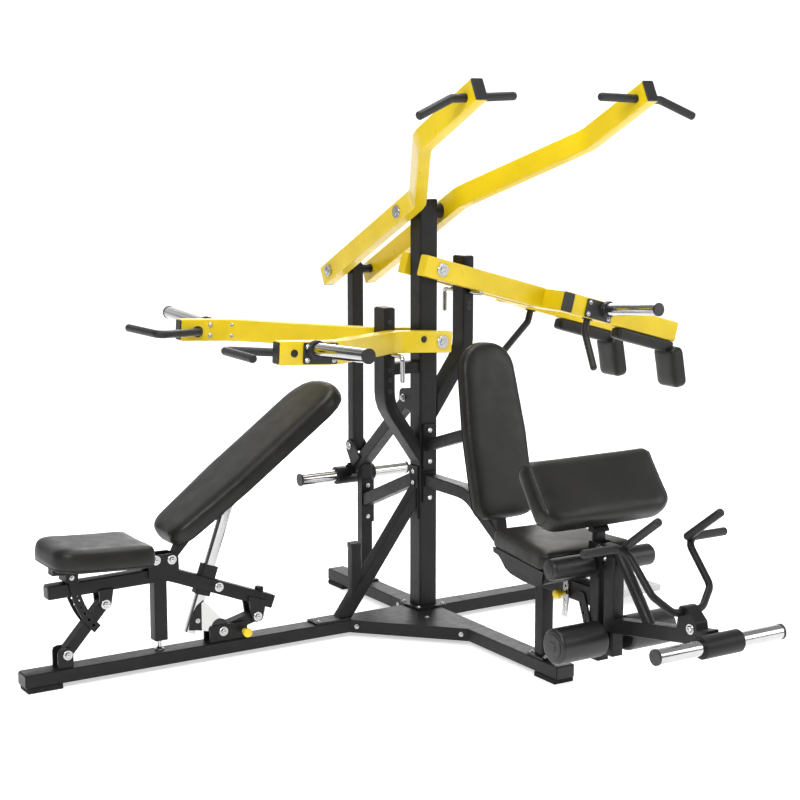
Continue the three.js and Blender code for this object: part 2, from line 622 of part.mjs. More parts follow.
// Everything in front of the backrest's rear face, used to trim its supports.
function backPlane(gap) {
  const [y0, z0, y1, z1] = [backY(1188), 1188, backY(540), 540];
  const d = gap;
  return slab([[y0 + d, z0], [y1 + d, z1], [y1 + d - 20, z1 - 96], [-900, z1 - 96], [-900, z0]],
    'yz', -200, 400);
}

function seatStation(g) {
  const back = stationGroup(g, 0, REST_LOW, 540, 'x', 0);
  back.rotation.x = -Math.atan2(REST_TOP - REST_LOW, 648);
  const h = 662;
  const outline = filleted([[-137, 0, 58], [137, 0, 58], [139, 320, 300], [114, h, 108],
    [-114, h, 108], [-139, 320, 300]], 30, 5);
  add(back, 'backrest_pad', slab(outline, 'xz', 0, REST_THICK, 14, [], 2), 'vinyl');

  const stand = tube([0, -810, RAIL_TOP + GAP], [0, -810, 427], 50, 50, [0, 1, 0]);
  const foot = block([-38, -858, RAIL_TOP + GAP], [38, -762, RAIL_TOP + GAP + PLATE]);
  const runner = tube([0, -812, 365], [0, -1104, 365], 50, 70);

  const upright = tube([0, -1127.5, 145], [0, -1127.5, 506], 50, 53, [0, 1, 0]);
  const ear = filleted([[-1104, 440, 0], [-1150, 440, 6], [-1187, 528, 20], [-1187, 566, 20],
    [-1104, 566, 8]], 6, 3);
  const ears = [-33, 24.5].map((x) => slab(ear, 'yz', x, 8.5));
  const hanger = slab(filleted([[-1036, 372], [-1078, 372], [-1122, 262], [-1086, 250]], 13, 3),
    'yz', -31, PLATE, 0, [[-1066, 326, 6], [-1080, 300, 6], [-1094, 274, 6]]);
  const stubs = [-1, 1].map((s) => rodX(KNEE[0], KNEE[1], s * 24, s * 224, 12, 0, 12));
  add(g, 'seat_stand', cut(join(stand, foot, runner, upright, hanger, ...ears, ...stubs,
    pinX(LEG_PIVOT, 38)),
    block([-20.6, -1131.6, 240], [20.6, -1104.4, 600])), 'black');

  const seat = stationGroup(g, 0, SEAT_HINGE[0], SEAT_HINGE[1], 'x', 1.4);
  const plan = filleted([[-155, 12, 30], [-207, -382, 40], [207, -382, 40], [155, 12, 30]], 30, 5);
  add(seat, 'seat_pad', slab(plan, 'xy', 55, 70, 16, [], 2), 'vinyl');
  const side = [[0, 54.6], [-4, 43], [-60, 42], [-130, 30], [-195, 12], [-285, 4], [-356, 11],
    [-374, 24], [-378, 54.6]];
  const inner = plan.map(([x, y]) => [x * 0.97, y]);
  const shell = geometryOf(solid(slab(side, 'yz', -230, 460)).intersect(
    solid(slab(inner, 'xy', -10, 80))));
  const ears2 = [-33, 27].map((x) => slab(filleted([[-17, -16, 15], [17, -16, 15], [22, 54, 0],
    [-22, 54, 0]], 12, 3), 'yz', x, 6));
  const strip = slab([[-262, 10], [-290, 10], [-296, -70], [-290, -146], [-262, -146], [-267, -70]],
    'yz', -33, 4, 0, [-34, -58, -82, -106, -130].map((z) => [-279, z, 5]));
  add(seat, 'seat_shell', cut(join(shell, strip, ...ears2), boreX([0, 0], PIN_R + 0.5)), 'black');

  add(g, 'seat_knob', knob([-33 - GAP, -977.5, 350.2], [-1, 0, 0], 3.6, 5), 'knob');
}

// Spring pin with a turned knob, its tip at `a`, pointing away from the head.
function knob(a, dir, tip, stem) {
  const b = a.map((v, i) => v + dir[i]);
  return turned([[0, 0], [tip, 0], [tip, stem], [9, stem + 1], [9, stem + 17], [16, stem + 23],
    [17, stem + 32], [11, stem + 44], [0, stem + 45]], a, b, 12);
}

function preacher(g) {
  const n = [-0.806, 0.592];
  const depth = 88;
  const face = [[-1193, 679], [-1055, 867]];
  const rear = face.map(([y, z]) => [y - n[0] * depth, z - n[1] * depth]);
  const along = [0.592, 0.806];
  const low = rear[0];
  const plateAt = (s, off) => [low[0] + along[0] * s + n[0] * off, low[1] + along[1] * s + n[1] * off];
  const plate = slab([plateAt(8, -GAP), plateAt(150, -GAP), plateAt(150, -8), plateAt(8, -8)], 'yz',
    -70, 140);
  const stem = block([-20, -1131, 300], [20, -1105, 688], 2);
  const collar = block([-32, -1137, 596], [32, -1099, 650], 4);
  const trim = slab([plateAt(-200, -4), plateAt(400, -4), plateAt(400, 300), plateAt(-200, 300)],
    'yz', -200, 400);
  add(g, 'preacher_stem', join(cut(join(stem, collar), trim), plate), 'black');

  const pad = stationGroup(g, 0, (face[0][0] + face[1][0]) / 2, (face[0][1] + face[1][1]) / 2, 'x', 0);
  pad.rotation.x = -Math.atan2(138, 188);
  const outline = filleted([[-276, -136, 64], [276, -136, 64], [272, 118], [-272, 118]], 34, 4);
  add(pad, 'preacher_pad', slab(outline, 'xz', 0, depth, 24, [], 2), 'vinyl');
}

function legStation(g) {
  const post = tube([0, -1205, 180], [0, -1205, 528], 48.4, 54, [0, 1, 0]);
  const tongue = slab(filleted([[-1143, 526], [-1143, 565], [-1215, 560, 20], [-1229, 470, 6],
    [-1183, 470, 6]], 19, 4), 'yz', -22, 44);
  const arm = slab(sloped([-1205, 284], [-1706, 366], 50, 'v', 'v'), 'yz', -25, 50, 3);
  const strut = rod([0, -1232, 540], [0, -1404, 322], 20, 0, 16);
  const bearing = slab(filleted([[-1556, 340, 0], [-1660, 350, 0], [-1650, 405, 12],
    [-1600, 446, 18], [-1566, 446, 18]], 12, 3), 'yz', -25, 50);
  const sleeve = rodX(LEG_HORN[0], LEG_HORN[1], -80, 80, 37.5, 2, 20);
  const axle = rodX(ROLLER[0], ROLLER[1], -256, 256, 12, 0, 12);
  add(g, 'leg_lever', cut(join(post, tongue, arm, strut, bearing, sleeve, axle),
    boreX(LEG_PIVOT, PIN_R + 0.5), rodX(CURL[0], CURL[1], -60, 60, 13.2, 0, 14),
    rodX(LEG_HORN[0], LEG_HORN[1], -120, 120, HORN_R + 0.4, 0, 20)), 'black');
  add(g, 'leg_horn', hornBar([-267, LEG_HORN[0], LEG_HORN[1]], [267, LEG_HORN[0], LEG_HORN[1]], true),
    'chrome');
  for (const [side, name] of [[-1, 'left'], [1, 'right']]) {
    const a = [side * 52, ROLLER[0], ROLLER[1]];
    const b = [side * 300, ROLLER[0], ROLLER[1]];
    add(g, `leg_roller_${name}`, turned([[13, 0], [54, 0], [61.5, 9], [61.5, 189], [54, 198], [13, 198],
      [13, 0]], a, b, 20), 'foam');
  }
  for (const [side, name] of [[-1, 'left'], [1, 'right']]) {
    const r = KNEE_R;
    add(g, `knee_roller_${name}`, turned([[13, 0], [r - 6, 0], [r, 7], [r, 174], [r - 6, 181],
      [13, 181], [13, 0]], [side * 40, ...KNEE], [side * 221, ...KNEE], 20), 'foam');
  }
  const top = [-1417, 618];
  const grips = [-1, 1].map((s) => rod([s * 131, top[0], top[1]], [s * 131, top[0] - 169, top[1] + 121],
    14, 0, 10));
  const ends = [-1, 1].map((s) => rod([s * 160, top[0], top[1]], [s * 307, top[0], top[1]], 14, 0, 10));
  add(g, 'curl_bar', join(bar([[-300, ...top], [-131, ...top], [-124, -1550, 484], [-60, CURL[0], CURL[1]],
    [60, CURL[0], CURL[1]], [124, -1550, 484], [131, ...top], [300, ...top]], 12.5, 50, 10, 3),
  ...grips, ...ends), 'grip');
}

// ---- bench ------------------------------------------------------------------------------
function link([x0, z0], [x1, z1], w, r0, r1) {
  const ux = (x1 - x0) / Math.hypot(x1 - x0, z1 - z0);
  const uz = (z1 - z0) / Math.hypot(x1 - x0, z1 - z0);
  const over = 18;
  const outline = filleted(sloped([x0 - ux * over, z0 - uz * over], [x1 + ux * over, z1 + uz * over],
    w, 's', 's'), 14, 3);
  return cut(slab(outline, 'xz', -20, 40), boreY([x0, z0], r0), boreY([x1, z1], r1));
}

function bench(g) {
  add(g, 'bench_front_link', link(BENCH_F0, BENCH_F1, 40, PIN_R + 0.5, PIN_R + 0.5), 'black');
  const fan = [[-895, 100], [-885, 128], [-978, 232], [-1008, 214], [-1036, 170], [-1040, 128],
    [-1012, 124]];
  const rear = link(BENCH_R0, BENCH_R1, 40, PIN_R + 0.5, PIN_R + 3);
  add(g, 'bench_rear_link', cut(join(rear, slab(fan, 'xz', -21.5, 5)), boreY(BENCH_R0, PIN_R + 0.5)),
    'black');

  const body = slab(bentOutline([[-1580, 348], [-1125, 356], [-690, 186]], 50, 130), 'xz', -25, 50,
    3);
  const post = tube([-1153, 0, 109], [-1153, 0, 340], 50, 50, [0, 1, 0]);
  const foot = turned([[0, 0], [18, 0], [18, 6], [8, 13], [8, 45], [0, 45]],
    [-1153, 0, RAIL_TOP + 0.6], [-1153, 0, 120], 12);
  const ears = (pts, r) => [-32.5, 24.5].map((y) => slab(filleted(pts, r, 2), 'xz', y, 8));
  const hinge = ears([[-1203, 350, 0], [-1082, 345, 0], [-1084, 432], [-1200, 434]], 18);
  const front = ears([[-1396, 335, 0], [-1390, 262], [-1352, 262], [-1340, 335, 0]], 18);
  const back = ears([[-800, 225, 0], [-784, 122], [-742, 122], [-725, 200, 0]], 18);
  const bumper = rod([-744, 0, 200], [-738, 0, 250], 17, 4, 12);
  const sleeveDir = [STRUT_T[0] - STRUT_P[0], STRUT_T[1] - STRUT_P[1]];
  const len = Math.hypot(...sleeveDir);
  const [dx, dz] = sleeveDir.map((v) => v / len);
  const half = 50;
  const window = slab(sloped([STRUT_P[0] + dz * half, STRUT_P[1] - dx * half],
    [STRUT_P[0] - dz * half, STRUT_P[1] + dx * half], 90, 's', 's'), 'xz', -21.5, 43);
  add(g, 'bench_beam', cut(join(body, post, foot, ...hinge, ...front, ...back, bumper,
    pinY(BENCH_SEAT, 40), pinY(BENCH_BACK, 40), pinY(BENCH_F1, 36), pinY(BENCH_R1, 36)), window),
  'black');

  const along = (s, off = 0) => [STRUT_P[0] + dx * s - dz * off, STRUT_P[1] + dz * s + dx * off];
  const sleeve = tube([along(-57)[0], 0, along(-57)[1]], [along(57)[0], 0, along(57)[1]], 42, 60,
    [dz, 0, -dx], 3);
  const bore = tube([along(-80)[0], 0, along(-80)[1]], [along(80)[0], 0, along(80)[1]], 31, 46,
    [dz, 0, -dx], 0);
  add(g, 'strut_sleeve', cut(sleeve, bore), 'black');
  const foot2 = along(-205);
  const rod2 = tube([foot2[0], 0, foot2[1]], [STRUT_T[0] + dx * 14, 0, STRUT_T[1] + dz * 14], 30, 36,
    [dz, 0, -dx], 3);
  add(g, 'back_strut', cut(rod2, boreY(STRUT_T, PIN_R + 0.5)), 'chrome');

  const backrest = stationGroup(g, BACK_ORIGIN[0], 0, BACK_ORIGIN[1], 'y', -BACK_TILT);
  const c = Math.cos(rad(BACK_TILT));
  const s = Math.sin(rad(BACK_TILT));
  const local = ([x, z]) => [(x - BACK_ORIGIN[0]) * c + (z - BACK_ORIGIN[1]) * s,
    -(x - BACK_ORIGIN[0]) * s + (z - BACK_ORIGIN[1]) * c];
  const [hx, hz] = local(BENCH_BACK);
  const [tx, tz] = local(STRUT_T);
  const pad = filleted([[-20, -120, 70], [300, -150, 200], [847, -150, 118], [847, 150, 118],
    [300, 150, 200], [-20, 120, 70]], 60, 4);
  add(backrest, 'bench_back_pad', slab(pad, 'xy', -32, 72, 20, [], 2), 'vinyl');
  const spine = block([20, -20, -62], [620, 20, -32 - GAP], 2);
  const neck = slab(filleted([[hx - 16, hz - 16], [hx + 18, hz - 14], [96, -58, 0], [96, -36, 0],
    [20, -36, 0]], 14, 3), 'xz', -20, 40);
  const tabs = [-24, 16.5].map((y) => slab(filleted([[tx - 18, -50, 0], [tx - 14, tz - 14],
    [tx + 14, tz - 14], [tx + 18, -50, 0]], 10, 3), 'xz', y, 7.5));
  const wing = [150, 470].map((x) => block([x, -110, -38], [x + 40, 110, -32 - GAP]));
  const notch = block([tx - 34, -16.5, -80], [tx + 34, 16.5, -40]);
  const framed = cut(join(spine, neck, ...tabs, ...wing), notch, boreY([hx, hz], PIN_R + 0.5));
  add(backrest, 'bench_back_frame', join(framed, pinY([tx, tz], 26)), 'black');

  const seat = stationGroup(g, BENCH_SEAT[0], 0, BENCH_SEAT[1], 'y', BENCH_SEAT_TILT);
  const plan = filleted([[-418, -150, 70], [-44, -150, 30], [-44, 150, 30], [-418, 150, 70]], 40, 5);
  add(seat, 'bench_seat_pad', slab(plan, 'xy', BENCH_PAD_LOW, 86, 22, [], 2), 'vinyl');
  const bar2 = block([-390, -22, -31], [-44, 22, BENCH_PAD_LOW - GAP], 2);
  const tongue = slab(filleted([[-60, -30, 0], [0, -19], [19, -10], [14, 16], [-20, 17], [-44, -10, 0],
    [-60, -10, 0]], 12, 3), 'xz', -22, 44);
  const arcs = [-33, 27].map((y) => slab(arcBand(303, 337, 189, 227), 'xz', y, 6, 0,
    [199.3, 203.3, 208, 213, 218, 223].map((t) => [320 * Math.cos(rad(t)), 320 * Math.sin(rad(t)), 6])));
  const yokeBar = block([-345, -33, -57], [-298, 33, -20], 2);
  add(seat, 'bench_seat_frame', cut(join(bar2, tongue, yokeBar, ...arcs),
    boreY([0, 0], PIN_R + 0.5)), 'black');

  add(g, 'bench_knob', cut(knob([-826, -31, 99], [0, -1, 0], 4, 10), block([-840, -30.4, 60],
    [-800, -20, 140])), 'knob');
}

// Flat ring segment between two radii, angles in degrees.
function arcBand(r0, r1, from, to) {
  const outer = [];
  const inner = [];
  const steps = 8;
  for (let i = 0; i <= steps; i += 1) {
    const t = rad(from + (to - from) * i / steps);
    outer.push([r1 * Math.cos(t), r1 * Math.sin(t)]);
    inner.push([r0 * Math.cos(t), r0 * Math.sin(t)]);
  }
  return outer.concat(inner.reverse());
}

// ---- assembly -----------------------------------------------------------------------------
const gym = new THREE.Group();
floorFrame(gym);
treadPlatform(gym);
column(gym);
pivotBolts(gym);
brace(gym);
goosenecks(gym);
latStation(gym);
pressStation(gym);
squatStation(gym);
backSupport(gym);
seatStation(gym);
preacher(gym);
legStation(gym);
bench(gym);

// The part's own origin is the middle of its footprint box, on the floor.
gym.updateMatrixWorld(true);
const box = new THREE.Box3().setFromObject(gym, true);
gym.position.set(-(box.min.x + box.max.x) / 2, -(box.min.y + box.max.y) / 2, -box.min.z);

export default gym;
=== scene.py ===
import json
import math

import bmesh
import bpy
import numpy as np
from mathutils import Matrix, Vector
from mathutils.bvhtree import BVHTree


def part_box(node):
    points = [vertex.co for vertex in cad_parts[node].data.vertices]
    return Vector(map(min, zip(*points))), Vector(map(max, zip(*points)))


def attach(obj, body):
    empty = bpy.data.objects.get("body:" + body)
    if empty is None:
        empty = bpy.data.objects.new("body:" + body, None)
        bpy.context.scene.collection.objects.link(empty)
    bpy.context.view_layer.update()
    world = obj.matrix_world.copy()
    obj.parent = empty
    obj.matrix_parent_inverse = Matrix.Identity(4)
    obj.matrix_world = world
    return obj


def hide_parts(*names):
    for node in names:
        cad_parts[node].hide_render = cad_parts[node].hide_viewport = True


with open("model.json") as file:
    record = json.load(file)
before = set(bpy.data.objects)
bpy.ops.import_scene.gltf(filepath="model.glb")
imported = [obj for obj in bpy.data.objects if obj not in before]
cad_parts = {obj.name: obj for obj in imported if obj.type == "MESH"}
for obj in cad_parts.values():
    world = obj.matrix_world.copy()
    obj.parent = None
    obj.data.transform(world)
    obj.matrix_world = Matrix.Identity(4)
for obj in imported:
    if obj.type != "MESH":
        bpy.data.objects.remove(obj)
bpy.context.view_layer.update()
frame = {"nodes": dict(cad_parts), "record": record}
MM = 0.001
low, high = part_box("lat_pivot_bolt")
# The column's foot on the floor; every station is laid out from it, in millimetres.
COLUMN = Vector(((low.x + high.x) / 2, (low.y + high.y) / 2, 0))


def at(x, y, z=0.0):
    return Vector((x, y, z)) * MM + COLUMN


def placed(x, y, z, axis, degrees):
    """Frame of a tilted sub-assembly; its local lengths are millimetres."""
    turn = Matrix.Rotation(math.radians(degrees), 4, axis)
    return Matrix.Translation(at(x, y, z)) @ turn @ Matrix.Scale(MM, 4)


PLAIN = placed(0, 0, 0, "X", 0)
LAT = placed(0, 0, 1644, "X", -26.5)
LEVER = placed(0, 88, 902, "X", -40.5)
PRESS = placed(27, 0, 1140, "Y", 3.5)
SQUAT = placed(27, 0, 1420, "Y", 15.4)
BACKREST = placed(0, -590, 540, "X", -math.degrees(math.atan2(157, 648)))
SEAT = placed(0, -700, 415, "X", 1.4)
PREACHER = placed(0, -1124, 773, "X", -math.degrees(math.atan2(138, 188)))
BENCH_BACK = placed(-1108, 0, 497, "Y", -35.8)
BENCH_SEAT = placed(-1173, 0, 415, "Y", 3.5)

NEAR_FAR = (("near", -1), ("far", 1))
LEFT_RIGHT = (("left", -1), ("right", 1))
KNEE_AXLE = (-1128, 489)
ROLLER_AXLE = (-1195, 243)
CURL_GRIP = (-1417, 618)
CURL_BEND = (-1550, 484)
CURL_PIVOT = (-1584, 425)
YOKE_ARM = 193
CAMERA_TURN = math.radians(-32)


# ---- materials --------------------------------------------------------------
class Nodes:
    """Small helper round one material's node tree."""

    def __init__(self, name, **sockets):
        self.material = bpy.data.materials.new(name)
        self.material.use_nodes = True
        self.tree = self.material.node_tree
        self.shader = self.tree.nodes["Principled BSDF"]
        for key, value in sockets.items():
            self.shader.inputs[key.replace("_", " ")].default_value = value
        self.place = self.node("ShaderNodeTexCoord").outputs["Object"]

    def node(self, kind, **settings):
        made = self.tree.nodes.new(kind)
        for key, value in settings.items():
            setattr(made, key, value)
        return made

    def link(self, a, b):
        self.tree.links.new(a, b)

    def noise(self, scale, detail=3.0, rough=0.5):
        made = self.node("ShaderNodeTexNoise")
        made.inputs["Scale"].default_value = scale
        made.inputs["Detail"].default_value = detail
        made.inputs["Roughness"].default_value = rough
        self.link(self.place, made.inputs["Vector"])
        return made.outputs["Fac"]

    def cells(self, scale):
        made = self.node("ShaderNodeTexVoronoi")
        made.inputs["Scale"].default_value = scale
        self.link(self.place, made.inputs["Vector"])
        return made.outputs["Distance"]

    def ramp(self, source, low_at, low_value, high_at, high_value):
        made = self.node("ShaderNodeMapRange")
        made.inputs["From Min"].default_value = low_at
        made.inputs["From Max"].default_value = high_at
        made.inputs["To Min"].default_value = low_value
        made.inputs["To Max"].default_value = high_value
        self.link(source, made.inputs["Value"])
        return made.outputs["Result"]

    def math(self, how, a, b=0.0):
        made = self.node("ShaderNodeMath", operation=how)
        for i, value in enumerate((a, b)):
            if isinstance(value, (int, float)):
                made.inputs[i].default_value = value
            else:
                self.link(value, made.inputs[i])
        return made.outputs[0]

    def colours(self, factor, first, second):
        made = self.node("ShaderNodeMix", data_type="RGBA")
        made.inputs[6].default_value = (*first, 1)
        made.inputs[7].default_value = (*second, 1)
        self.link(factor, made.inputs[0])
        return made.outputs[2]

    def either(self, factor, first, fixed):
        """First colour where the factor is 0, one fixed colour where it is 1."""
        made = self.node("ShaderNodeMix", data_type="RGBA")
        self.link(factor, made.inputs[0])
        self.link(first, made.inputs[6])
        made.inputs[7].default_value = (*fixed, 1)
        return made.outputs[2]

    def split(self):
        """Object coordinates as three separate outputs."""
        made = self.node("ShaderNodeSeparateXYZ")
        self.link(self.place, made.inputs[0])
        return made.outputs

    def base(self, colour):
        self.link(colour, self.shader.inputs["Base Color"])

    def roughness(self, value):
        self.link(value, self.shader.inputs["Roughness"])

    def bump(self, height, distance, strength=1.0):
        made = self.node("ShaderNodeBump")
        made.inputs["Distance"].default_value = distance
        made.inputs["Strength"].default_value = strength
        self.link(height, made.inputs["Height"])
        self.link(made.outputs["Normal"], self.shader.inputs["Normal"])


def painted_edge_highlight(n, amount):
    """Painted highlight: lighter colour along convex edges, taken from the surface's own
    pointiness.
    """
    geometry = n.node("ShaderNodeNewGeometry")
    edge = n.ramp(geometry.outputs["Pointiness"], 0.53, 0.0, 0.6, 1.0)
    return n.math("MULTIPLY", n.math("MULTIPLY", edge, n.noise(60, 4)), amount)


FOOT_TOP = 0.0182
COAT_DARK = (0.0068, 0.0066, 0.0067)
COAT_LIGHT = (0.0115, 0.0112, 0.0113)


def powder_coat(name, dark, light, rough, feet=False):
    """Matt black paint; with feet, everything below FOOT_TOP looks like moulded rubber."""
    n = Nodes(name, Metallic=0.0, Specular_IOR_Level=0.22)
    cloud = n.ramp(n.noise(9, 4, 0.6), 0.35, 0.0, 0.65, 1.0)
    # Painted highlight: convex edges are drawn lighter, towards the light coat.
    colour = n.colours(n.math("MAXIMUM", cloud, painted_edge_highlight(n, 0.9)), dark, light)
    rough_now = n.ramp(n.noise(35, 3), 0.3, rough - 0.05, 0.7, rough + 0.06)
    if feet:
        foot = n.math("LESS_THAN", n.split()["Z"], FOOT_TOP)
        colour = n.either(foot, colour, (0.012, 0.012, 0.012))
        rough_now = n.math("MAXIMUM", rough_now, n.math("MULTIPLY", foot, 0.8))
    n.base(colour)
    n.roughness(rough_now)
    n.bump(n.noise(1400, 2), 0.00012, 0.35)
    return n.material


def yellow_paint():
    n = Nodes("yellow_paint", Metallic=0.0, Specular_IOR_Level=0.4, Coat_Weight=0.2,
              Coat_Roughness=0.15)
    cloud = n.ramp(n.noise(7, 3, 0.5), 0.35, 0.0, 0.65, 1.0)
    n.base(n.colours(cloud, (0.63, 0.455, 0.003), (0.70, 0.51, 0.004)))
    n.roughness(n.ramp(n.noise(30, 3), 0.3, 0.27, 0.7, 0.36))
    n.bump(n.noise(900, 2), 0.00012, 0.3)
    return n.material


def metal(name, colour, rough, brushed=0.0):
    n = Nodes(name, Metallic=1.0)
    mark = n.noise(260, 5, 0.7)
    n.base(n.colours(n.ramp(n.noise(22, 3), 0.3, 0.0, 0.7, 1.0),
                     tuple(c * 0.93 for c in colour), colour))
    n.roughness(n.ramp(mark, 0.3, rough * 0.75, 0.75, rough * 1.4))
    n.bump(n.noise(1800, 2), 0.00004, 0.12 + brushed)
    return n.material


def vinyl(name, dark, light, rough):
    n = Nodes(name, Metallic=0.0, Specular_IOR_Level=0.3)
    worn = n.ramp(n.noise(6, 4, 0.55), 0.35, 0.0, 0.7, 1.0)
    n.base(n.colours(worn, dark, light))
    n.roughness(n.ramp(n.noise(18, 4), 0.3, rough - 0.05, 0.7, rough + 0.07))
    grain = n.math("ADD", n.cells(620), n.math("MULTIPLY", n.noise(1500, 2), 0.5))
    n.bump(grain, 0.00025, 0.28)
    return n.material


def foam():
    n = Nodes("foam_sleeve", Metallic=0.0, Specular_IOR_Level=0.42)
    n.base(n.colours(n.noise(40, 4), (0.0085, 0.0085, 0.0083), (0.013, 0.0128, 0.0124)))
    n.roughness(n.ramp(n.noise(90, 3), 0.3, 0.33, 0.7, 0.42))
    n.bump(n.noise(1100, 4, 0.7), 0.0003, 0.4)
    return n.material


def rubber(name, level, rough, pitch=0.0):
    n = Nodes(name, Metallic=0.0, Specular_IOR_Level=0.4)
    n.base(n.colours(n.noise(50, 4), (level, level, level), (level * 1.5,) * 3))
    n.roughness(n.ramp(n.noise(70, 3), 0.3, rough - 0.06, 0.7, rough + 0.06))
    height = n.noise(1300, 3)
    if pitch:
        height = n.math("ADD", height, n.math("MULTIPLY", n.cells(1 / pitch), 1.2))
    n.bump(height, 0.0002, 0.35)
    return n.material


def plastic(name, dark, light, rough):
    n = Nodes(name, Metallic=0.0, Specular_IOR_Level=0.5)
    n.base(n.colours(n.noise(25, 3), dark, light))
    n.roughness(n.ramp(n.noise(60, 3), 0.3, rough - 0.05, 0.7, rough + 0.07))
    n.bump(n.noise(2200, 2), 0.0001, 0.3)
    return n.material


def tread():
    """Chequer plate: raised lozenges, turned by a quarter from one cell to the next."""
    n = Nodes("tread_plate", Metallic=0.9)
    place = n.split()
    cells_per_metre = 30.0
    u = n.math("MULTIPLY", place["X"], cells_per_metre)
    v = n.math("MULTIPLY", place["Y"], cells_per_metre)
    cell = n.math("ADD", n.math("FLOOR", u), n.math("FLOOR", v))
    odd = n.math("FLOORED_MODULO", cell, 2.0)
    pu = n.math("SUBTRACT", n.math("FRACT", u), 0.5)
    pv = n.math("SUBTRACT", n.math("FRACT", v), 0.5)
    a = n.math("ADD", pu, pv)
    b = n.math("SUBTRACT", pu, pv)
    flip = n.math("SUBTRACT", 1.0, odd)
    first = n.math("ADD", n.math("MULTIPLY", a, odd), n.math("MULTIPLY", b, flip))
    other = n.math("ADD", n.math("MULTIPLY", b, odd), n.math("MULTIPLY", a, flip))
    far = n.math("ADD", n.math("POWER", n.math("MULTIPLY", first, 1.7), 2.0),
                 n.math("POWER", n.math("MULTIPLY", other, 5.5), 2.0))
    lump = n.ramp(far, 0.2, 1.0, 0.75, 0.0)
    n.base(n.colours(n.math("MULTIPLY", lump, n.noise(40, 4)), (0.42, 0.43, 0.44),
                     (0.72, 0.73, 0.74)))
    n.roughness(n.ramp(n.noise(120, 4), 0.3, 0.3, 0.7, 0.48))
    n.bump(lump, 0.0016, 0.9)
    return n.material


def part_plated(name, planes):
    """Black coat with one bright plated stretch, bounded by planes (axis, side, level)."""
    n = Nodes(name, Specular_IOR_Level=0.22)
    place = n.split()
    plated = None
    for axis, side, level in planes:
        inside = n.math(side, place[axis], level)
        plated = n.math("MULTIPLY", plated, inside) if plated else inside
    n.link(plated, n.shader.inputs["Metallic"])
    coat = n.colours(n.noise(9, 4), COAT_DARK, COAT_LIGHT)
    n.base(n.either(plated, coat, (0.5, 0.5, 0.5)))
    n.roughness(n.ramp(plated, 0.0, 0.42, 1.0, 0.2))
    n.bump(n.noise(1400, 2), 0.00012, 0.35)
    return n.material


BLACK = powder_coat("black_powder_coat", COAT_DARK, COAT_LIGHT, 0.42)
RAIL = powder_coat("black_rail", COAT_DARK, COAT_LIGHT, 0.42, feet=True)
YELLOW = yellow_paint()
CHROME = metal("chrome", (0.47, 0.47, 0.475), 0.12)
BOLT = metal("zinc_bolt", (0.5, 0.5, 0.505), 0.24, 0.15)
VINYL = vinyl("black_vinyl", (0.008, 0.0076, 0.007), (0.012, 0.0113, 0.0104), 0.4)
FOAM = foam()
GRIP = rubber("grip_rubber", 0.008, 0.5, 0.003)
CAP = plastic("cap_plastic", (0.007, 0.007, 0.0072), (0.011, 0.011, 0.0115), 0.42)
KNOB = plastic("knob_plastic", (0.84, 0.58, 0.012), (0.92, 0.67, 0.02), 0.36)
TREAD = tread()
SHELL = part_plated("seat_shell_coat", (
    ("X", "LESS_THAN", COLUMN.x - 27.5 * MM), ("X", "GREATER_THAN", COLUMN.x - 34.5 * MM),
    ("Y", "LESS_THAN", COLUMN.y - 940 * MM), ("Z", "LESS_THAN", 417 * MM)))
BEAM = part_plated("bench_beam_coat", (("Z", "LESS_THAN", 108.5 * MM),))
LINK = part_plated("rear_link_coat", (
    ("Y", "LESS_THAN", COLUMN.y - 20.4 * MM), ("X", "GREATER_THAN", COLUMN.x - 990 * MM)))

# Slot of each material a piece is built in, and the look of each slot on the CAD nodes.
LOOKS = {"black_paint": BLACK, "yellow_paint": YELLOW, "chrome": CHROME, "vinyl": VINYL,
         "foam": FOAM, "grip": GRIP, "knob": KNOB, "tread": TREAD}
OWN_LOOKS = {"seat_shell": SHELL, "bench_beam": BEAM, "bench_rear_link": LINK}


# ---- shading of the CAD nodes -------------------------------------------------
def soft_edge_group(weld_distance=2e-5, sharp_degrees=52):
    """Welds the frame mesh and splits its shading only at real edges."""
    group = bpy.data.node_groups.new("soft_edges", "GeometryNodeTree")
    group.interface.new_socket("Geometry", in_out="INPUT", socket_type="NodeSocketGeometry")
    group.interface.new_socket("Geometry", in_out="OUTPUT", socket_type="NodeSocketGeometry")
    new = group.nodes.new
    weld = new("GeometryNodeMergeByDistance")
    weld.inputs["Distance"].default_value = weld_distance
    drop = new("GeometryNodeRemoveAttribute")
    drop.inputs["Name"].default_value = "custom_normal"
    faces = new("GeometryNodeSetShadeSmooth")
    faces.domain = "FACE"
    edges = new("GeometryNodeSetShadeSmooth")
    edges.domain = "EDGE"
    edges.inputs["Shade Smooth"].default_value = False
    angle = new("GeometryNodeInputMeshEdgeAngle")
    sharp = new("FunctionNodeCompare")
    sharp.operation = "GREATER_THAN"
    sharp.inputs[1].default_value = math.radians(sharp_degrees)
    start = new("NodeGroupInput")
    end = new("NodeGroupOutput")
    chain = [start.outputs[0], weld.inputs[0], weld.outputs[0], drop.inputs[0], drop.outputs[0],
             faces.inputs["Geometry"], faces.outputs[0], edges.inputs["Geometry"],
             edges.outputs[0], end.inputs[0]]
    for a, b in zip(chain[::2], chain[1::2]):
        group.links.new(a, b)
    group.links.new(angle.outputs["Unsigned Angle"], sharp.inputs[0])
    group.links.new(sharp.outputs[0], edges.inputs["Selection"])
    return group


def weigh_normals(piece):
    """Lets the large faces lead the shading of the narrow ones beside them."""
    weigh = piece.modifiers.new("weighted", "WEIGHTED_NORMAL")
    weigh.weight = 90
    weigh.keep_sharp = True


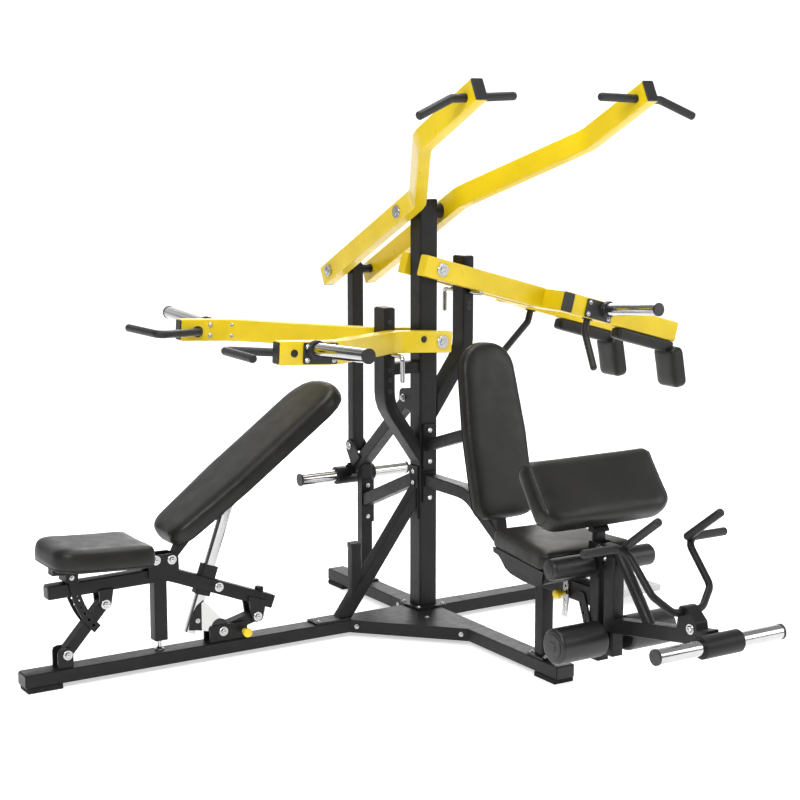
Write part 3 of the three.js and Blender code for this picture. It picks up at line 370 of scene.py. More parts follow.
SOFT_EDGES = soft_edge_group()
SLOT_OF = {s["node"]: s["material_slot"] for s in frame["record"]["subparts"]}
for node_name, node in frame["nodes"].items():
    soft = node.modifiers.new("soft_edges", "NODES")
    soft.node_group = SOFT_EDGES
    weigh_normals(node)
    look = RAIL if node_name.endswith("_rail") else LOOKS[SLOT_OF[node_name]]
    for material_slot in node.material_slots:
        material_slot.material = OWN_LOOKS.get(node_name, look)


# ---- mesh building ------------------------------------------------------------
def finish_mesh(name, mesh, material, body, replaces, angle):
    for polygon in mesh.polygons:
        polygon.use_smooth = True
    mesh.set_sharp_from_angle(angle=math.radians(angle))
    mesh.materials.append(material)
    piece = bpy.data.objects.new(name, mesh)
    bpy.context.scene.collection.objects.link(piece)
    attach(piece, body)
    if replaces:
        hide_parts(*replaces)
    return piece


def build(name, makers, material, body, replaces=(), angle=40, weighted=True):
    """One piece from several closed shapes; each maker adds its shape to the bmesh."""
    bm = bmesh.new()
    for make in makers:
        make(bm)
    bmesh.ops.recalc_face_normals(bm, faces=bm.faces)
    mesh = bpy.data.meshes.new(name)
    bm.to_mesh(mesh)
    bm.free()
    piece = finish_mesh(name, mesh, material, body, replaces, angle)
    if weighted:
        weigh_normals(piece)


def across(direction):
    """Two unit vectors square to a direction."""
    helper = Vector((0, 0, 1)) if abs(direction.z) < 0.9 else Vector((1, 0, 0))
    first = direction.cross(helper).normalized()
    return first, direction.cross(first).normalized()


def skin(bm, rings):
    """Joins rings of equal length into one tube; the ends are closed by flat faces."""
    made = [[bm.verts.new(p) for p in ring] for ring in rings]
    count = len(made[0])
    for a, b in zip(made, made[1:]):
        for i in range(count):
            j = (i + 1) % count
            bm.faces.new((a[i], a[j], b[j], b[i]))
    bm.faces.new(made[0][::-1])
    bm.faces.new(made[-1])


def turned(profile, a, b, matrix=PLAIN, sides=40):
    """Solid turned about the line from a towards b; profile holds (radius, distance)."""
    def make(bm):
        start = matrix @ Vector(a)
        way = ((matrix @ Vector(b)) - start).normalized()
        first, second = across(way)
        rings = []
        for radius, distance in profile:
            ring = []
            for i in range(sides):
                t = math.tau * i / sides
                arm = first * math.cos(t) + second * math.sin(t)
                ring.append(start + way * distance * MM + arm * max(radius, 0.05) * MM)
            rings.append(ring)
        skin(bm, rings)
    return make


def corner_path(points, bend, steps=8):
    """Polyline with its corners replaced by arcs."""
    line = [Vector(p) for p in points]
    out = [line[0]]
    for before, corner, after in zip(line, line[1:], line[2:]):
        a = before - corner
        b = after - corner
        la, lb = a.length, b.length
        a.normalize()
        b.normalize()
        half = a.angle(b) / 2
        back = min(bend / math.tan(half), la * 0.49, lb * 0.49)
        radius = back * math.tan(half)
        centre = corner + (a + b).normalized() * (radius / math.sin(half))
        start = corner + a * back - centre
        end = corner + b * back - centre
        turn = start.angle(end)
        axis = start.cross(end).normalized()
        for i in range(steps + 1):
            out.append(centre + Matrix.Rotation(turn * i / steps, 3, axis) @ start)
    out.append(line[-1])
    return out


def bent_bar(points, radius, bend, matrix=PLAIN, sides=24):
    """Round bar along a polyline, with softly rounded ends."""
    def make(bm):
        path = [matrix @ p for p in corner_path(points, bend)]
        tangents = []
        for i in range(len(path)):
            before = path[max(0, i - 1)]
            after = path[min(len(path) - 1, i + 1)]
            tangents.append((after - before).normalized())
        normal = across(tangents[0])[0]
        stations = []
        for point, tangent in zip(path, tangents):
            normal = (normal - tangent * normal.dot(tangent)).normalized()
            stations.append((point, tangent, normal, radius))
        soft = [(0.0, 0.55), (0.12, 0.8), (0.3, 0.93), (0.5, 1.0)]
        p, t, n, r = stations[0]
        head = [(p + t * r * MM * d, t, n, r * s) for d, s in soft]
        p, t, n, r = stations[-1]
        tail = [(p - t * r * MM * d, t, n, r * s) for d, s in reversed(soft)]
        stations = head + stations[1:-1] + tail
        rings = []
        for p, t, n, r in stations:
            side = t.cross(n)
            ring = []
            for i in range(sides):
                w = math.tau * i / sides
                ring.append(p + (n * math.cos(w) + side * math.sin(w)) * r * MM)
            rings.append(ring)
        skin(bm, rings)
    return make


def rounded_outline(width, height, radius, steps=4):
    out = []
    for cx, cy, start in ((1, 1, 0), (-1, 1, 90), (-1, -1, 180), (1, -1, 270)):
        for i in range(steps + 1):
            t = math.radians(start + 90 * i / steps)
            out.append((cx * (width / 2 - radius) + radius * math.cos(t),
                        cy * (height / 2 - radius) + radius * math.sin(t)))
    return out


def plate(centre, normal, up, width, height, thick, radius=5, edge=1.2, matrix=PLAIN):
    """Rounded plate whose face `centre` lies on a surface; it rises along the normal."""
    def make(bm):
        out = Vector(normal).normalized()
        v = Vector(up).normalized()
        u = v.cross(out).normalized()
        rings = []
        for inset, level in ((0, 0), (0, thick - edge), (edge, thick)):
            outline = rounded_outline(width - 2 * inset, height - 2 * inset, radius)
            rings.append([matrix @ (Vector(centre) + u * x + v * y + out * level)
                          for x, y in outline])
        skin(bm, rings)
    return make


def bolt(centre, normal, size=11.0, washer=16.0, matrix=PLAIN, height=8.0):
    """Washer, chamfered hexagon with a dished top, and the bolt's end standing out of it."""
    a = Vector(centre)
    b = a + Vector(normal)
    disc = turned([(washer, 0), (washer, 1.6), (washer - 1, 2.6), (2, 2.6)], a, b, matrix, 32)
    hexagon = turned([(size, 2.6), (size, height - 1.4), (size - 1.6, height),
                      (size * 0.55, height), (size * 0.5, height - 0.9), (1, height - 0.9)],
                     a, b, matrix, 6)
    stub = turned([(size * 0.46, 2.6), (size * 0.46, height + 0.9), (size * 0.36, height + 1.7),
                   (1, height + 1.7)], a, b, matrix, 24)
    return [disc, hexagon, stub]


def both_sides(x, y, z, axis, size=11.0, washer=16.0, matrix=PLAIN, height=8.0):
    """A through bolt: a head on each side of a part that is symmetric across the axis."""
    out = []
    for s in (-1, 1):
        centre = (s * x, y, z) if axis == "X" else (x, s * y, z)
        normal = (s, 0, 0) if axis == "X" else (0, s, 0)
        out += bolt(centre, normal, size, washer, matrix, height)
    return out


# ---- bolts ----------------------------------------------------------------------
LARGE = dict(size=11.5, washer=18.0, height=9.5)
SMALL = dict(size=6.5, washer=9.5, height=6.0)

frame_bolts = []
frame_bolts += both_sides(-1519, 30, 115, "Y", **LARGE)
frame_bolts += both_sides(-905, 30, 106, "Y", **LARGE)
for z in (787, 662, 596, 516):
    frame_bolts += bolt((0, -48.3, z), (0, -1, 0), **SMALL)
for z in (620, 574):
    frame_bolts += bolt((-48.3, 0, z), (-1, 0, 0), **SMALL)
for z in (630, 520):
    frame_bolts += bolt((-18, 48.3, z), (0, 1, 0), **SMALL)
HUB_SLANT = Vector((-341, -324, 0)).normalized()
for x, y in ((-345.4, -59.6), (-58.6, -361.4)):
    frame_bolts += bolt((x, y, 44), HUB_SLANT, **SMALL)
frame_bolts += bolt((65, -40, 44), (0, -1, 0), **SMALL)
frame_bolts += bolt((40, -333, 44), (1, 0, 0), **SMALL)
frame_bolts += bolt((-40, 126, 44), (-1, 0, 0), **SMALL)
for x, y in ((-55, -55), (55, -55), (55, 55), (-55, 55), (-494, -22), (-494, 22), (-22, -850),
             (22, -850), (-22, -770), (22, -770), (-22, 492), (22, 492), (-22, 416), (22, 416)):
    frame_bolts += bolt((x, y, 76.3), (0, 0, 1), **SMALL)
frame_bolts += bolt((-90, -169, 68), (0, 0, 1), **SMALL)
for z in (480, 347):
    frame_bolts += bolt((0, 429, z), (0, -1, 0), **SMALL)
frame_bolts += both_sides(33, -1163, 545, "X", **LARGE)
build("frame_bolts", frame_bolts, BOLT, "frame")
build("hinge_bolts_seat", both_sides(33, -700, 415, "X", size=10, washer=15, height=9.0), BOLT,
      "frame")
build("lever_pivot_bolts", both_sides(39, 88, 902, "X", size=11, washer=16, height=10.0), BOLT,
      "frame")

beam_bolts = []
beam_bolts += both_sides(-1173, 32.5, 415, "Y", **LARGE)
beam_bolts += both_sides(-1110, 32.5, 410, "Y", **LARGE)
beam_bolts += both_sides(-1371, 32.5, 280, "Y", **LARGE)
beam_bolts += both_sides(-762, 32.5, 142, "Y", **LARGE)
beam_bolts += both_sides(-918, 25, 277, "Y", **LARGE)
build("beam_bolts", beam_bolts, BOLT, "bench_beam")
build("front_link_bolts", both_sides(-1429, 20, 215, "Y", **SMALL), BOLT, "bench_front_link")
build("rear_link_bolts", bolt((-1006, -21.5, 160), (0, -1, 0), **SMALL)
      + bolt((-1006, -16.5, 160), (0, 1, 0), **SMALL), BOLT, "bench_rear_link")
build("arc_bolts", both_sides(-322, 33, -39, "Y", **SMALL, matrix=BENCH_SEAT), BOLT, "bench_seat")
build("rear_link_hub", [turned([(34, 0), (34, 1.4), (32, 2.4), (2, 2.4)],
                               (-917, -21.8, 122), (-917, -40, 122))], CAP, "bench_rear_link")
build("strut_bolts", both_sides(-863.5, 24, 590.5, "Y", size=8, washer=12, height=7.0), BOLT,
      "bench_back")
build("lever_bolts", both_sides(25, -1624, 378, "X", **LARGE)
      + both_sides(22, -1180, 516, "X", **SMALL), BOLT, "leg_lever")
link_eye = LEVER.inverted() @ at(0, 526.2, 637)
build("lever_link_bolts", both_sides(34, link_eye.y, link_eye.z, "X", matrix=LEVER, size=11,
      washer=16, height=10.5), BOLT, "lat_lever")
link_end = [(24, 0), (24, 9.5), (22.5, 11), (13, 11), (13, 14), (11, 15.5), (2, 15.5)]
build("link_top_bolts", [turned(link_end, (s * 125.6, 588, 0), (s * 200, 588, 0), LAT)
                         for s in (-1, 1)], BOLT, "lat_link")


def pivot_bolt(name, shaft, matrix, axis, face, head=8.5):
    """Shaft through a bearing, with a broad washer and a hexagon on each face."""
    ends = []
    for s in (-1, 1):
        a = Vector((s * face, 0, 0)) if axis == "X" else Vector((0, s * face, 0))
        b = a * 2
        ends.append(turned([(26, 0), (26, 3.2), (24.6, 4.6), (2, 4.6)], a, b, matrix, 48))
        ends.append(turned([(14.5, 4.6), (14.5, head - 1.5), (12.5, head), (8, head),
                            (7.2, head - 1.2), (1, head - 1.2)], a, b, matrix, 6))
    a = Vector((-face, 0, 0)) if axis == "X" else Vector((0, -face, 0))
    ends.append(turned([(shaft, 0), (shaft, 2 * face)], a, -a, matrix, 32))
    build(name + "_detail", ends, BOLT, "frame", [name])


pivot_bolt("lat_pivot_bolt", 12, placed(0, 0, 1644, "X", 0), "X", 125.5)
pivot_bolt("press_pivot_bolt", 10, placed(27, 0, 1140, "X", 0), "Y", 95.5)
pivot_bolt("squat_pivot_bolt", 10, placed(27, 0, 1420, "X", 0), "Y", 95.5)

black_bolts = []
for x, zs in ((-180, (1222, 1040, 1000, 955)), (186, (1262, 1280))):
    for z in zs:
        for s in (-1, 1):
            black_bolts += bolt((x, s * 40, z), (0, s, 0), size=8, washer=11, height=5.5)
build("post_bolts", black_bolts, CAP, "frame")
for name, side in NEAR_FAR:
    lock = bolt((-87, side * 95, 11), (0, side, 0), size=10, washer=13, height=8.5, matrix=PRESS)
    build("press_lock_" + name, lock, CAP, "press_" + name)
    plug = [turned([(14, 0), (14, 2), (12, 3.2), (9, 3.2), (8, 1), (1, 1)],
                   (-837, side * 425, 0), (-837, side * 500, 0), PRESS)]
    build("press_hole_plug_" + name, plug, CAP, "press_" + name)
    inner = []
    for x in (-772, -679):
        for z in (-21, 21):
            inner += bolt((x, side * 375, z), (0, -side, 0), matrix=PRESS, **SMALL)
    build("press_inner_bolts_" + name, inner, BOLT, "press_" + name)
    inner = []
    for x in (645, 745):
        for z in (-21, 21):
            inner += bolt((x, side * 168, z), (0, -side, 0), matrix=SQUAT, **SMALL)
    build("squat_inner_bolts_" + name, inner, BOLT, "squat_yoke")


# ---- end caps ---------------------------------------------------------------------
def caps(name, body, items, matrix=PLAIN):
    makers = [plate(c, n, u, w, h, 4, 5, 1.5, matrix) for c, n, u, w, h in items]
    build(name, makers, CAP, body)


X, Y, Z = (1, 0, 0), (0, 1, 0), (0, 0, 1)
caps("rail_caps", "frame", [
    ((-1678, 0, 43), (-1, 0, 0), Z, 74, 44), ((985, 0, 43), X, Z, 74, 44),
    ((0, -940, 43), (0, -1, 0), Z, 74, 44), ((0, 700, 43), Y, Z, 74, 44),
    ((0, 0, 1688), Z, Y, 74, 74), ((-180, 0, 1276), Z, Y, 44, 74), ((186, 0, 1462), Z, Y, 44, 74)])
caps("bench_caps", "bench_beam", [((-1580, 0, 348), (-1, 0, 0), Z, 44, 42)])
caps("lat_link_caps", "lat_link", [((0, 526.2, 1409), Z, Y, 40, 40)])
for name, side in LEFT_RIGHT:
    caps("lat_caps_" + name, "lat_arms", [
        ((side * 100, 652, 0), Y, Z, 49, 79), ((side * 365, -1008, 0), (0, -1, 0), Z, 49, 79)], LAT)
for name, side in NEAR_FAR:
    caps("press_caps_" + name, "press_" + name, [
        ((-894, side * 400, 0), (-1, 0, 0), Z, 44, 76)], PRESS)
yoke_caps = []
for s in (-1, 1):
    yoke_caps += [((1124, s * 193, 0), X, Z, 44, 76), ((532, s * 220, 0), (0, s, 0), Z, 54, 76)]
caps("squat_caps", "squat_yoke", yoke_caps, SQUAT)


# ---- weight horns -------------------------------------------------------------------
def horn(node, body, matrix, a, b, both=False):
    """Plated bar from a to b with a black disc on b, or on both ends."""
    length = (Vector(b) - Vector(a)).length
    start = 9 if both else 0
    bar = turned([(24.2, start), (25, start + 0.8), (25, length - 10), (24.2, length - 9.2)], a, b,
                 matrix, 64)
    build(node + "_bar", [bar], CHROME, body, [node])
    disc = [(24, 0), (26.5, 1.2), (26.5, 8.6), (25.6, 9.6), (8, 9.6)]
    makers = [turned(disc, b, a, matrix, 64)]
    if both:
        makers.append(turned(disc, a, b, matrix, 64))
    build(node + "_discs", makers, CAP, body, [node])


def horn_unit(kind, name, side, body, matrix, x0, x1, horn_x, horn_z, face, tip, rise):
    """Horn on its bolted bracket plate x0 to x1; it rises by some degrees from face to tip."""
    node = f"{kind}_horn_{name}"
    slope = math.tan(math.radians(rise))

    def along(d):
        return Vector((horn_x, side * d, horn_z + (d - face) * slope))

    horn(node, body, matrix, along(face + 8), along(tip))
    middle = ((x0 + x1) / 2, side * (face + 0.3), 0)
    makers = [plate(middle, (0, side, 0), Z, x1 - x0, 76, 8, 6, 1.5, matrix)]
    makers.append(turned([(33, 0), (33, 4), (31, 6), (31, 14), (33, 16), (33, 19), (31, 21),
                          (20, 21)], along(face + 6), along(tip), matrix, 48))
    build(node + "_bracket", makers, CAP, body, [node])
    bolts = []
    for x in (x0 + 14, x1 - 14):
        for z in (-24, 24):
            bolts += bolt((x, side * (face + 8.3), z), (0, side, 0), matrix=matrix, **SMALL)
    build(node + "_bolts", bolts, BOLT, body)


for name, side in NEAR_FAR:
    horn_unit("press", name, side, "press_" + name, PRESS, -802, -666, -757, 14, 425, 796, 2.7)
    horn_unit("squat", name, side, "squat_yoke", SQUAT, 628, 762, 729, 12, 218, 540, 5.3)
horn("lever_horn", "lat_lever", LEVER, (-264, 602, 0), (264, 602, 0), True)
horn("leg_horn", "leg_lever", PLAIN, (-267, -1735, 353), (267, -1735, 353), True)


# ---- grips, pins, rollers and knobs -----------------------------------------------
for name, side in LEFT_RIGHT:
    grip = [bent_bar([(side * 180, -952.2, 5.5), (side * 447, -957.1, -8.4),
                      (side * 591, -948, -70)], 15, 26, LAT)]
    build("lat_grip_cover_" + name, grip, GRIP, "lat_arms", ["lat_grip_" + name])
for name, side in NEAR_FAR:
    root = side * 374.7
    handle = [bent_bar([(-826, root, -5), (-826, root - side * 14, -5), (-1036, side * 261, -5),
                        (-1049, side * 530, -5)], 15, 24, PRESS),
              turned([(22, 0), (22, 3), (20, 5)], (-826, root, -5), (-826, 0, -5), PRESS)]
    build("press_grip_" + name, handle, GRIP, "press_" + name, ["press_handle_" + name])
    y = side * YOKE_ARM
    handle = [bent_bar([(668, y, -41.3), (668, y, -92), (664, y + side * 120, -237)], 14, 22,
                       SQUAT),
              turned([(22, 0), (22, 3), (20, 5)], (668, y, -41.3), (668, y, -200), SQUAT)]
    build("squat_grip_" + name, handle, GRIP, "squat_yoke", ["squat_handle_" + name])

press_pin = bent_bar([(-180, 112, 1100), (-180, -132, 1100), (-180, -132, 1000)], 9, 16, PLAIN, 32)
build("press_rest_pin_bar", [press_pin], CHROME, "press_pin", ["press_rest_pin"])
squat_pin = bent_bar([(186, -132, 1324), (186, 132, 1324), (186, 132, 1232)], 9, 16, PLAIN, 32)
build("squat_rest_pin_bar", [squat_pin], CHROME, "squat_pin", ["squat_rest_pin"])

curl = [bent_bar([(-300, *CURL_GRIP), (-131, *CURL_GRIP), (-124, *CURL_BEND), (-60, *CURL_PIVOT),
                  (60, *CURL_PIVOT), (124, *CURL_BEND), (131, *CURL_GRIP), (300, *CURL_GRIP)],
                 12.5, 50)]
build("curl_bar_tube", curl, BLACK, "curl_bar", ["curl_bar"])
sleeves = []
for s in (-1, 1):
    sleeves.append(bent_bar([(s * 158, *CURL_GRIP), (s * 307, *CURL_GRIP)], 14.5, 10))
    sleeves.append(bent_bar([(s * 131, *CURL_GRIP),
                             (s * 131, CURL_GRIP[0] - 169, CURL_GRIP[1] + 121)], 14.5, 10))
build("curl_bar_grips", sleeves, GRIP, "curl_bar", ["curl_bar"])

for name, side in LEFT_RIGHT:
    a = (side * 52, *ROLLER_AXLE)
    b = (side * 300, *ROLLER_AXLE)
    sleeve = turned([(14, 0.5), (50, 0.5), (56, 2.5), (60, 7), (61.5, 13), (61.5, 185), (60, 191),
                     (56, 195.5), (50, 197.5), (14, 197.5)], a, b, sides=64)
    build("roller_foam_" + name, [sleeve], FOAM, "roller_" + name, ["leg_roller_" + name], 60)
    disc = turned([(14, 0), (44, 0), (44, 2), (42, 4), (18, 5), (16, 8), (1, 8)],
                  (side * 249, *ROLLER_AXLE), b, sides=48)
    build("roller_end_" + name, [disc], CAP, "roller_" + name)
    a = (side * 40, *KNEE_AXLE)
    b = (side * 221, *KNEE_AXLE)
    sleeve = turned([(13.5, 0.5), (30, 0.5), (34, 2.5), (37, 6.5), (38, 12), (38, 169), (37, 174.5),
                     (34, 178.5), (30, 180.5), (13.5, 180.5)], a, b, sides=56)
    build("knee_foam_" + name, [sleeve], FOAM, "frame", ["knee_roller_" + name], 60)
    disc = turned([(12, 0), (24, 0), (24, 1.5), (22, 3), (9, 4), (8, 5), (1, 5)],
                  (side * 220.5, *KNEE_AXLE), (side * 300, *KNEE_AXLE), sides=40)
    build("knee_end_" + name, [disc], CAP, "frame")


def knob(name, a, way, stem):
    """Turned plastic head on a plated pin; node and body carry the same name."""
    b = tuple(p + q for p, q in zip(a, way))
    head = turned([(9, stem + 1), (9, stem + 16), (13, stem + 19), (16.3, stem + 23),
                   (17, stem + 27), (17, stem + 34), (15.5, stem + 39), (11, stem + 43),
                   (4, stem + 44.6)], a, b, sides=48)
    build(name + "_head", [head], KNOB, name, [name])
    pin = turned([(3.6, 0), (3.6, stem + 1), (7, stem + 1), (7, stem + 3)], a, b, sides=24)
    build(name + "_pin", [pin], BOLT, name, [name])


knob("seat_knob", (-33.3, -977.5, 350.2), (-1, 0, 0), 5)
knob("bench_knob", (-826, -31, 99), (0, -1, 0), 10)


# ---- upholstery --------------------------------------------------------------------
def welded_copy(node, inverse):
    bm = bmesh.new()
    bm.from_mesh(frame["nodes"][node].data)
    bm.transform(inverse)
    bmesh.ops.remove_doubles(bm, verts=bm.verts, dist=0.02)
    return bm


def prism(outline, low_at, thick, edge):
    """Closed slab along y on an outline in x and z, its two rims softened."""
    bm = bmesh.new()
    count = len(outline)
    cx = sum(p[0] for p in outline) / count
    cz = sum(p[1] for p in outline) / count
    rings = []
    for inset, level in ((edge, 0), (0, edge), (0, thick - edge), (edge, thick)):
        ring = []
        for x, z in outline:
            d = math.hypot(x - cx, z - cz)
            k = (d - inset) / d
            ring.append(Vector((cx + (x - cx) * k, low_at + level, cz + (z - cz) * k)))
        rings.append(ring)
    skin(bm, rings)
    bmesh.ops.recalc_face_normals(bm, faces=bm.faces)
    return bm


def remeshed(bm, name, voxel):
    mesh = bpy.data.meshes.new(name)
    bm.to_mesh(mesh)
    bm.free()
    piece = bpy.data.objects.new(name, mesh)
    bpy.context.scene.collection.objects.link(piece)
    remesh = piece.modifiers.new("voxels", "REMESH")
    remesh.mode = "VOXEL"
    remesh.voxel_size = voxel
    bpy.context.view_layer.update()
    done = piece.evaluated_get(bpy.context.evaluated_depsgraph_get())
    fresh = bpy.data.meshes.new_from_object(done)
    piece.modifiers.clear()
    piece.data = fresh
    return piece


def evened(mesh, field, passes=24):
    """Spreads a field over the mesh, so that a taut cover shows no stray wrinkles."""
    ends = np.array([e.vertices[:] for e in mesh.edges])
    count = np.zeros((len(field), 1))
    np.add.at(count, ends[:, 0], 1.0)
    np.add.at(count, ends[:, 1], 1.0)
    for _ in range(passes):
        total = np.zeros_like(field)
        np.add.at(total, ends[:, 0], field[ends[:, 1]])
        np.add.at(total, ends[:, 1], field[ends[:, 0]])
        field = field * 0.4 + total / count * 0.6
    return field


def inflate(piece, pinned, pressure, cap, frames=20):
    """Cloth under pressure; the result is capped and written back to the mesh."""
    rest = [v.co.copy() for v in piece.data.vertices]
    group = piece.vertex_groups.new(name="board")
    group.add([i for i, p in enumerate(rest) if pinned(p)], 1.0, "REPLACE")
    cloth = piece.modifiers.new("cloth", "CLOTH")
    settings = cloth.settings
    settings.quality = 4
    settings.use_pressure = True
    settings.uniform_pressure_force = pressure
    settings.vertex_group_mass = "board"
    settings.effector_weights.gravity = 0
    settings.tension_stiffness = 20
    settings.compression_stiffness = 20
    settings.bending_stiffness = 8
    cloth.collision_settings.use_collision = False
    scene = bpy.context.scene
    cloth.point_cache.frame_start = 1
    cloth.point_cache.frame_end = frames
    for number in range(1, frames + 1):
        scene.frame_set(number)
    done = piece.evaluated_get(bpy.context.evaluated_depsgraph_get())
    swollen = [v.co.copy() for v in done.data.vertices]
    piece.modifiers.clear()
    scene.frame_set(1)
    moves = np.array([after - before for before, after in zip(rest, swollen)])
    lengths = np.maximum(np.linalg.norm(moves, axis=1, keepdims=True), 1e-9)
    moves = evened(piece.data, moves * np.minimum(1.0, cap / lengths))
    for vertex, before, move in zip(piece.data.vertices, rest, moves):
        vertex.co = before + Vector(move)


def welt(name, piece, body, matrix, axis, level, radius=1.5, count=180, sides=8):
    """Thin seam cord round a cushion, laid on its surface at one level of the given axis."""
    inverse = matrix.inverted()
    points = [inverse @ v.co for v in piece.data.vertices]
    tree = BVHTree.FromPolygons(points, [p.vertices[:] for p in piece.data.polygons])
    u, v = [i for i in range(3) if i != axis]
    mid = [(min(p[i] for p in points) + max(p[i] for p in points)) / 2 for i in range(3)]
    half = [(max(p[i] for p in points) - min(p[i] for p in points)) / 2 for i in range(3)]
    line = []
    for k in range(count):
        t = math.tau * k / count
        way = Vector((0, 0, 0))
        way[u] = half[u] * math.cos(t)
        way[v] = half[v] * math.sin(t)
        centre = Vector(mid)
        centre[axis] = level
        hit = tree.ray_cast(centre + way * 3, -way.normalized())[0]
        if hit is not None:
            line.append(hit)
    up = Vector([1.0 if i == axis else 0.0 for i in range(3)])

    def make(bm):
        rings = []
        for i, point in enumerate(line):
            tangent = (line[(i + 1) % len(line)] - line[i - 1]).normalized()
            out = tangent.cross(up).normalized()
            ring = []
            for j in range(sides):
                w = math.tau * j / sides
                arm = out * math.cos(w) + up * math.sin(w)
                ring.append(bm.verts.new(matrix @ (point + arm * radius)))
            rings.append(ring)
        for a, b in zip(rings, rings[1:] + rings[:1]):
            for j in range(sides):
                k = (j + 1) % sides
                bm.faces.new((a[j], a[k], b[k], b[j]))

    build(name, [make], VINYL, body, weighted=False)


PRESSURE = 4.0
STAPLED = 9     # depth of the band next to the board that the cloth cannot leave
BOARD_GAP = 0.4
FACE_SWELL = 2.5
SIDE_SWELL = 3


def cushion(name, node, body, matrix, bm, axis, back, front, inset, crown, voxel=0.006,
            cap=0.0045):
    """Upholstered pad grown from its solid. axis is the thickness axis in the local frame,
    back the level of the board it is stapled to and front the level of its face; inset and
    crown are the room left for the swelling, at the sides and at the face."""
    coords = [v.co for v in bm.verts]
    lo = Vector([min(p[i] for p in coords) for i in range(3)])
    hi = Vector([max(p[i] for p in coords) for i in range(3)])
    mid = (lo + hi) / 2
    sign = 1 if front > back else -1
    for v in bm.verts:
        for i in range(3):
            half = (hi[i] - lo[i]) / 2
            if i != axis:
                v.co[i] = mid[i] + (v.co[i] - mid[i]) * (half - inset) / half
        depth = (v.co[axis] - back) * sign
        v.co[axis] = back + sign * depth * (abs(front - back) - crown) / abs(front - back)
    bmesh.ops.transform(bm, matrix=matrix, verts=bm.verts)
    piece = remeshed(bm, name, voxel)
    inverse = matrix.inverted()

    def near_board(p):
        return abs((inverse @ p)[axis] - back) < STAPLED

    inflate(piece, near_board, PRESSURE, cap)
    reach = [half - 0.2 for half in (hi - lo) / 2]
    for vertex in piece.data.vertices:
        q = inverse @ vertex.co
        if (q[axis] - back) * sign < BOARD_GAP:
            q[axis] = back + sign * BOARD_GAP
        if (q[axis] - front) * sign > FACE_SWELL:
            q[axis] = front + sign * FACE_SWELL
        for i in range(3):
            if i != axis:
                q[i] = max(mid[i] - reach[i] - SIDE_SWELL,
                           min(mid[i] + reach[i] + SIDE_SWELL, q[i]))
        vertex.co = matrix @ q
    for polygon in piece.data.polygons:
        polygon.use_smooth = True
    piece.data.materials.clear()
    piece.data.materials.append(VINYL)
    soft = piece.modifiers.new("relax", "CORRECTIVE_SMOOTH")
    soft.use_only_smooth = True
    soft.iterations = 8
    smooth = piece.modifiers.new("subdivision", "SUBSURF")
    smooth.levels = 1
    smooth.render_levels = 1
    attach(piece, body)
    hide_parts(node)
    return piece


def cad_cushion(name, body, matrix, axis, back, front):
    """Cushion grown from the CAD solid of the pad of the same name."""
    bm = welded_copy(name + "_pad", matrix.inverted())
    return cushion(name + "_cushion", name + "_pad", body, matrix, bm, axis, back, front, 0.5, 1.5)


backrest = cad_cushion("backrest", "frame", BACKREST, 1, 54, 0)
seat = cad_cushion("seat", "seat", SEAT, 2, 55, 125)
preacher = cad_cushion("preacher", "preacher", PREACHER, 1, 88, 0)
bench_back = cad_cushion("bench_back", "bench_back", BENCH_BACK, 2, -32, 40)
bench_seat = cad_cushion("bench_seat", "bench_seat", BENCH_SEAT, 2, -3, 83)
welt("backrest_seam", backrest, "frame", BACKREST, 1, 42)
welt("seat_seam", seat, "seat", SEAT, 2, 112)
welt("bench_back_seam", bench_back, "bench_back", BENCH_BACK, 2, -22)
welt("bench_seat_seam", bench_seat, "bench_seat", BENCH_SEAT, 2, 8)
for end, side in LEFT_RIGHT:
    welt("preacher_seam_" + end, preacher, "preacher", PREACHER, 0, side * 262)


def side_panel(side):
    """Panel that closes the seat's side, from the cushion down to the pan's curved underside."""
    outline = [(-2, 60), (-6, 41), (-44, 38), (-72, 22), (-98, 4), (-140, -6), (-235, -8),
               (-320, -2), (-362, 18), (-368, 60)]

    def half_width(y):
        return 155 + (12 - y) * 52 / 394

    def make(bm):
        skin(bm, [[SEAT @ Vector((side * (half_width(y) - inward), y, z)) for y, z in outline]
                  for inward in (3, 7)])
    return make


build("seat_side_panels", [side_panel(-1), side_panel(1)], BLACK, "seat")

for name, side in NEAR_FAR:
    node = "squat_pad_" + name
    y = side * YOKE_ARM
    long_pad = [(x + 974, z - 65.7) for x, z in rounded_outline(304, 48.7, 10)]
    cushion("squat_cushion_" + name, node, "squat_yoke", SQUAT,
            prism(long_pad, y - 29, 58, 6), 2, -41.6, -90, 0.3, 0.8, voxel=0.004, cap=0.003)
    lean = Matrix.Rotation(math.radians(-25.7), 4, "Y")
    drop = Matrix.Translation(Vector((1153, y, -141.5))) @ lean
    cushion("squat_block_" + name, node, "squat_yoke", SQUAT @ drop,
            prism(rounded_outline(62, 171, 18), -64, 128, 12), 0, 31, -31, 0.3, 0.8,
            voxel=0.004, cap=0.003)


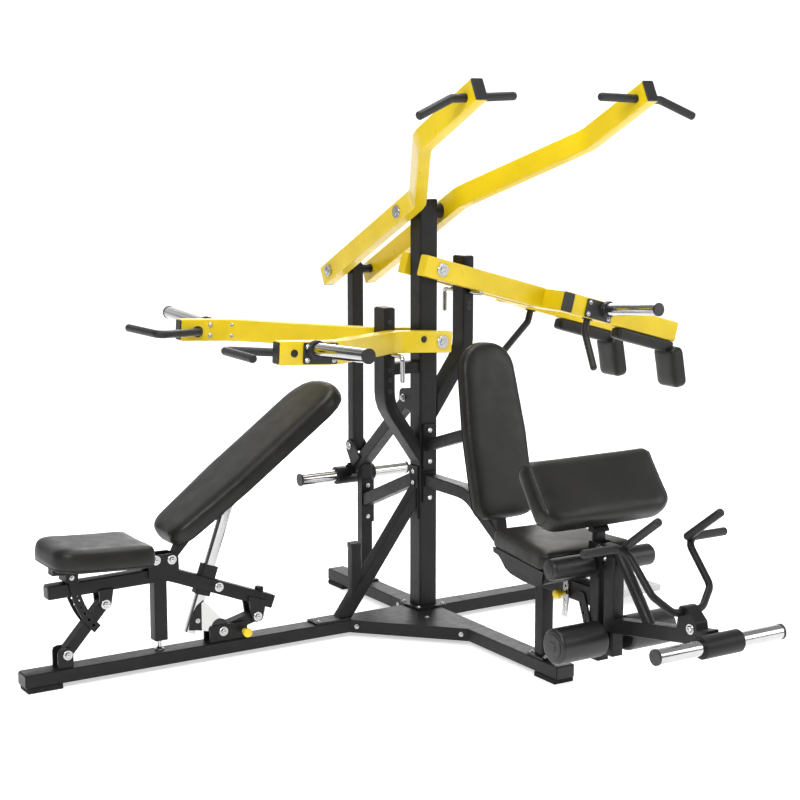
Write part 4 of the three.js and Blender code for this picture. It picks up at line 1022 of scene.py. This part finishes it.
# ---- floor, light and camera ---------------------------------------------------------
def studio_floor():
    """White floor that bends up into a wall behind the object, as seen by the camera."""
    bm = bmesh.new()
    size, depth, height, bend = 14.0, 9.0, 7.0, 3.0
    profile = [(-depth, 0.0)]
    for i in range(13):
        t = math.radians(90 * i / 12)
        profile.append((depth - bend + bend * math.sin(t), bend - bend * math.cos(t)))
    profile.append((depth, height))
    turn = Matrix.Rotation(CAMERA_TURN, 3, "Z")
    rows = [[bm.verts.new(turn @ Vector((x, y, z))) for x in (-size, size)] for y, z in profile]
    for a, b in zip(rows, rows[1:]):
        bm.faces.new((a[0], a[1], b[1], b[0]))
    mesh = bpy.data.meshes.new("studio_floor")
    bm.to_mesh(mesh)
    bm.free()
    for polygon in mesh.polygons:
        polygon.use_smooth = True
    n = Nodes("studio_white", Metallic=0.0, Specular_IOR_Level=0.0, Roughness=1.0)
    white = n.colours(n.noise(0.6, 2), (0.86, 0.86, 0.86), (0.88, 0.88, 0.88))
    n.base(white)
    n.link(white, n.shader.inputs["Emission Color"])
    n.shader.inputs["Emission Strength"].default_value = 0.62
    mesh.materials.append(n.material)
    floor = bpy.data.objects.new("studio_floor", mesh)
    bpy.context.scene.collection.objects.link(floor)


studio_floor()


def area_light(name, position, size, size_y, power):
    """Soft light aimed at the middle of the object."""
    data = bpy.data.lights.new(name, "AREA")
    data.shape = "RECTANGLE"
    data.size = size
    data.size_y = size_y
    data.energy = power
    light = bpy.data.objects.new(name, data)
    light.location = position
    light.rotation_euler = (AIM - Vector(position)).to_track_quat("-Z", "Y").to_euler()
    bpy.context.scene.collection.objects.link(light)


AIM = Vector((0, 0, 0.9))
area_light("key", (-4.5, -3.5, 4.6), 2.6, 2.6, 260)
area_light("fill", (4.6, -4.2, 2.6), 3.0, 3.0, 110)
area_light("top", (0.3, 0.2, 5.0), 3.6, 3.6, 170)
area_light("rim", (2.5, 4.4, 3.6), 2.4, 2.0, 120)

world = bpy.data.worlds.new("studio")
world.use_nodes = True
sky = world.node_tree
ramp = sky.nodes.new("ShaderNodeValToRGB")
ramp.color_ramp.interpolation = "EASE"
split = sky.nodes.new("ShaderNodeSeparateXYZ")
where = sky.nodes.new("ShaderNodeTexCoord")
height = sky.nodes.new("ShaderNodeMapRange")
height.inputs["From Min"].default_value = -1.0
sky.links.new(where.outputs["Generated"], split.inputs[0])
sky.links.new(split.outputs["Z"], height.inputs["Value"])
sky.links.new(height.outputs["Result"], ramp.inputs["Fac"])
ramp.color_ramp.elements[0].position = 0.0
ramp.color_ramp.elements[0].color = (0.5, 0.5, 0.5, 1)
ramp.color_ramp.elements[1].position = 1.0
ramp.color_ramp.elements[1].color = (1, 1, 1, 1)
for position, level in ((0.47, 0.3), (0.58, 0.22), (0.7, 0.4), (0.8, 0.75)):
    ramp.color_ramp.elements.new(position).color = (level, level, level, 1)
background = sky.nodes["Background"]
sky.links.new(ramp.outputs["Color"], background.inputs["Color"])
background.inputs["Strength"].default_value = 0.6
bpy.context.scene.world = world
bpy.context.scene.view_settings.view_transform = "Standard"

camera_data = bpy.data.cameras.new("camera")
camera_data.lens = 78.59
camera_data.sensor_width = 36.0
camera = bpy.data.objects.new("camera", camera_data)
camera.location = at(-3689, -5729, 1994.5)
camera.rotation_euler = (math.radians(80.88), 0, CAMERA_TURN)
bpy.context.scene.collection.objects.link(camera)
bpy.context.scene.camera = camera
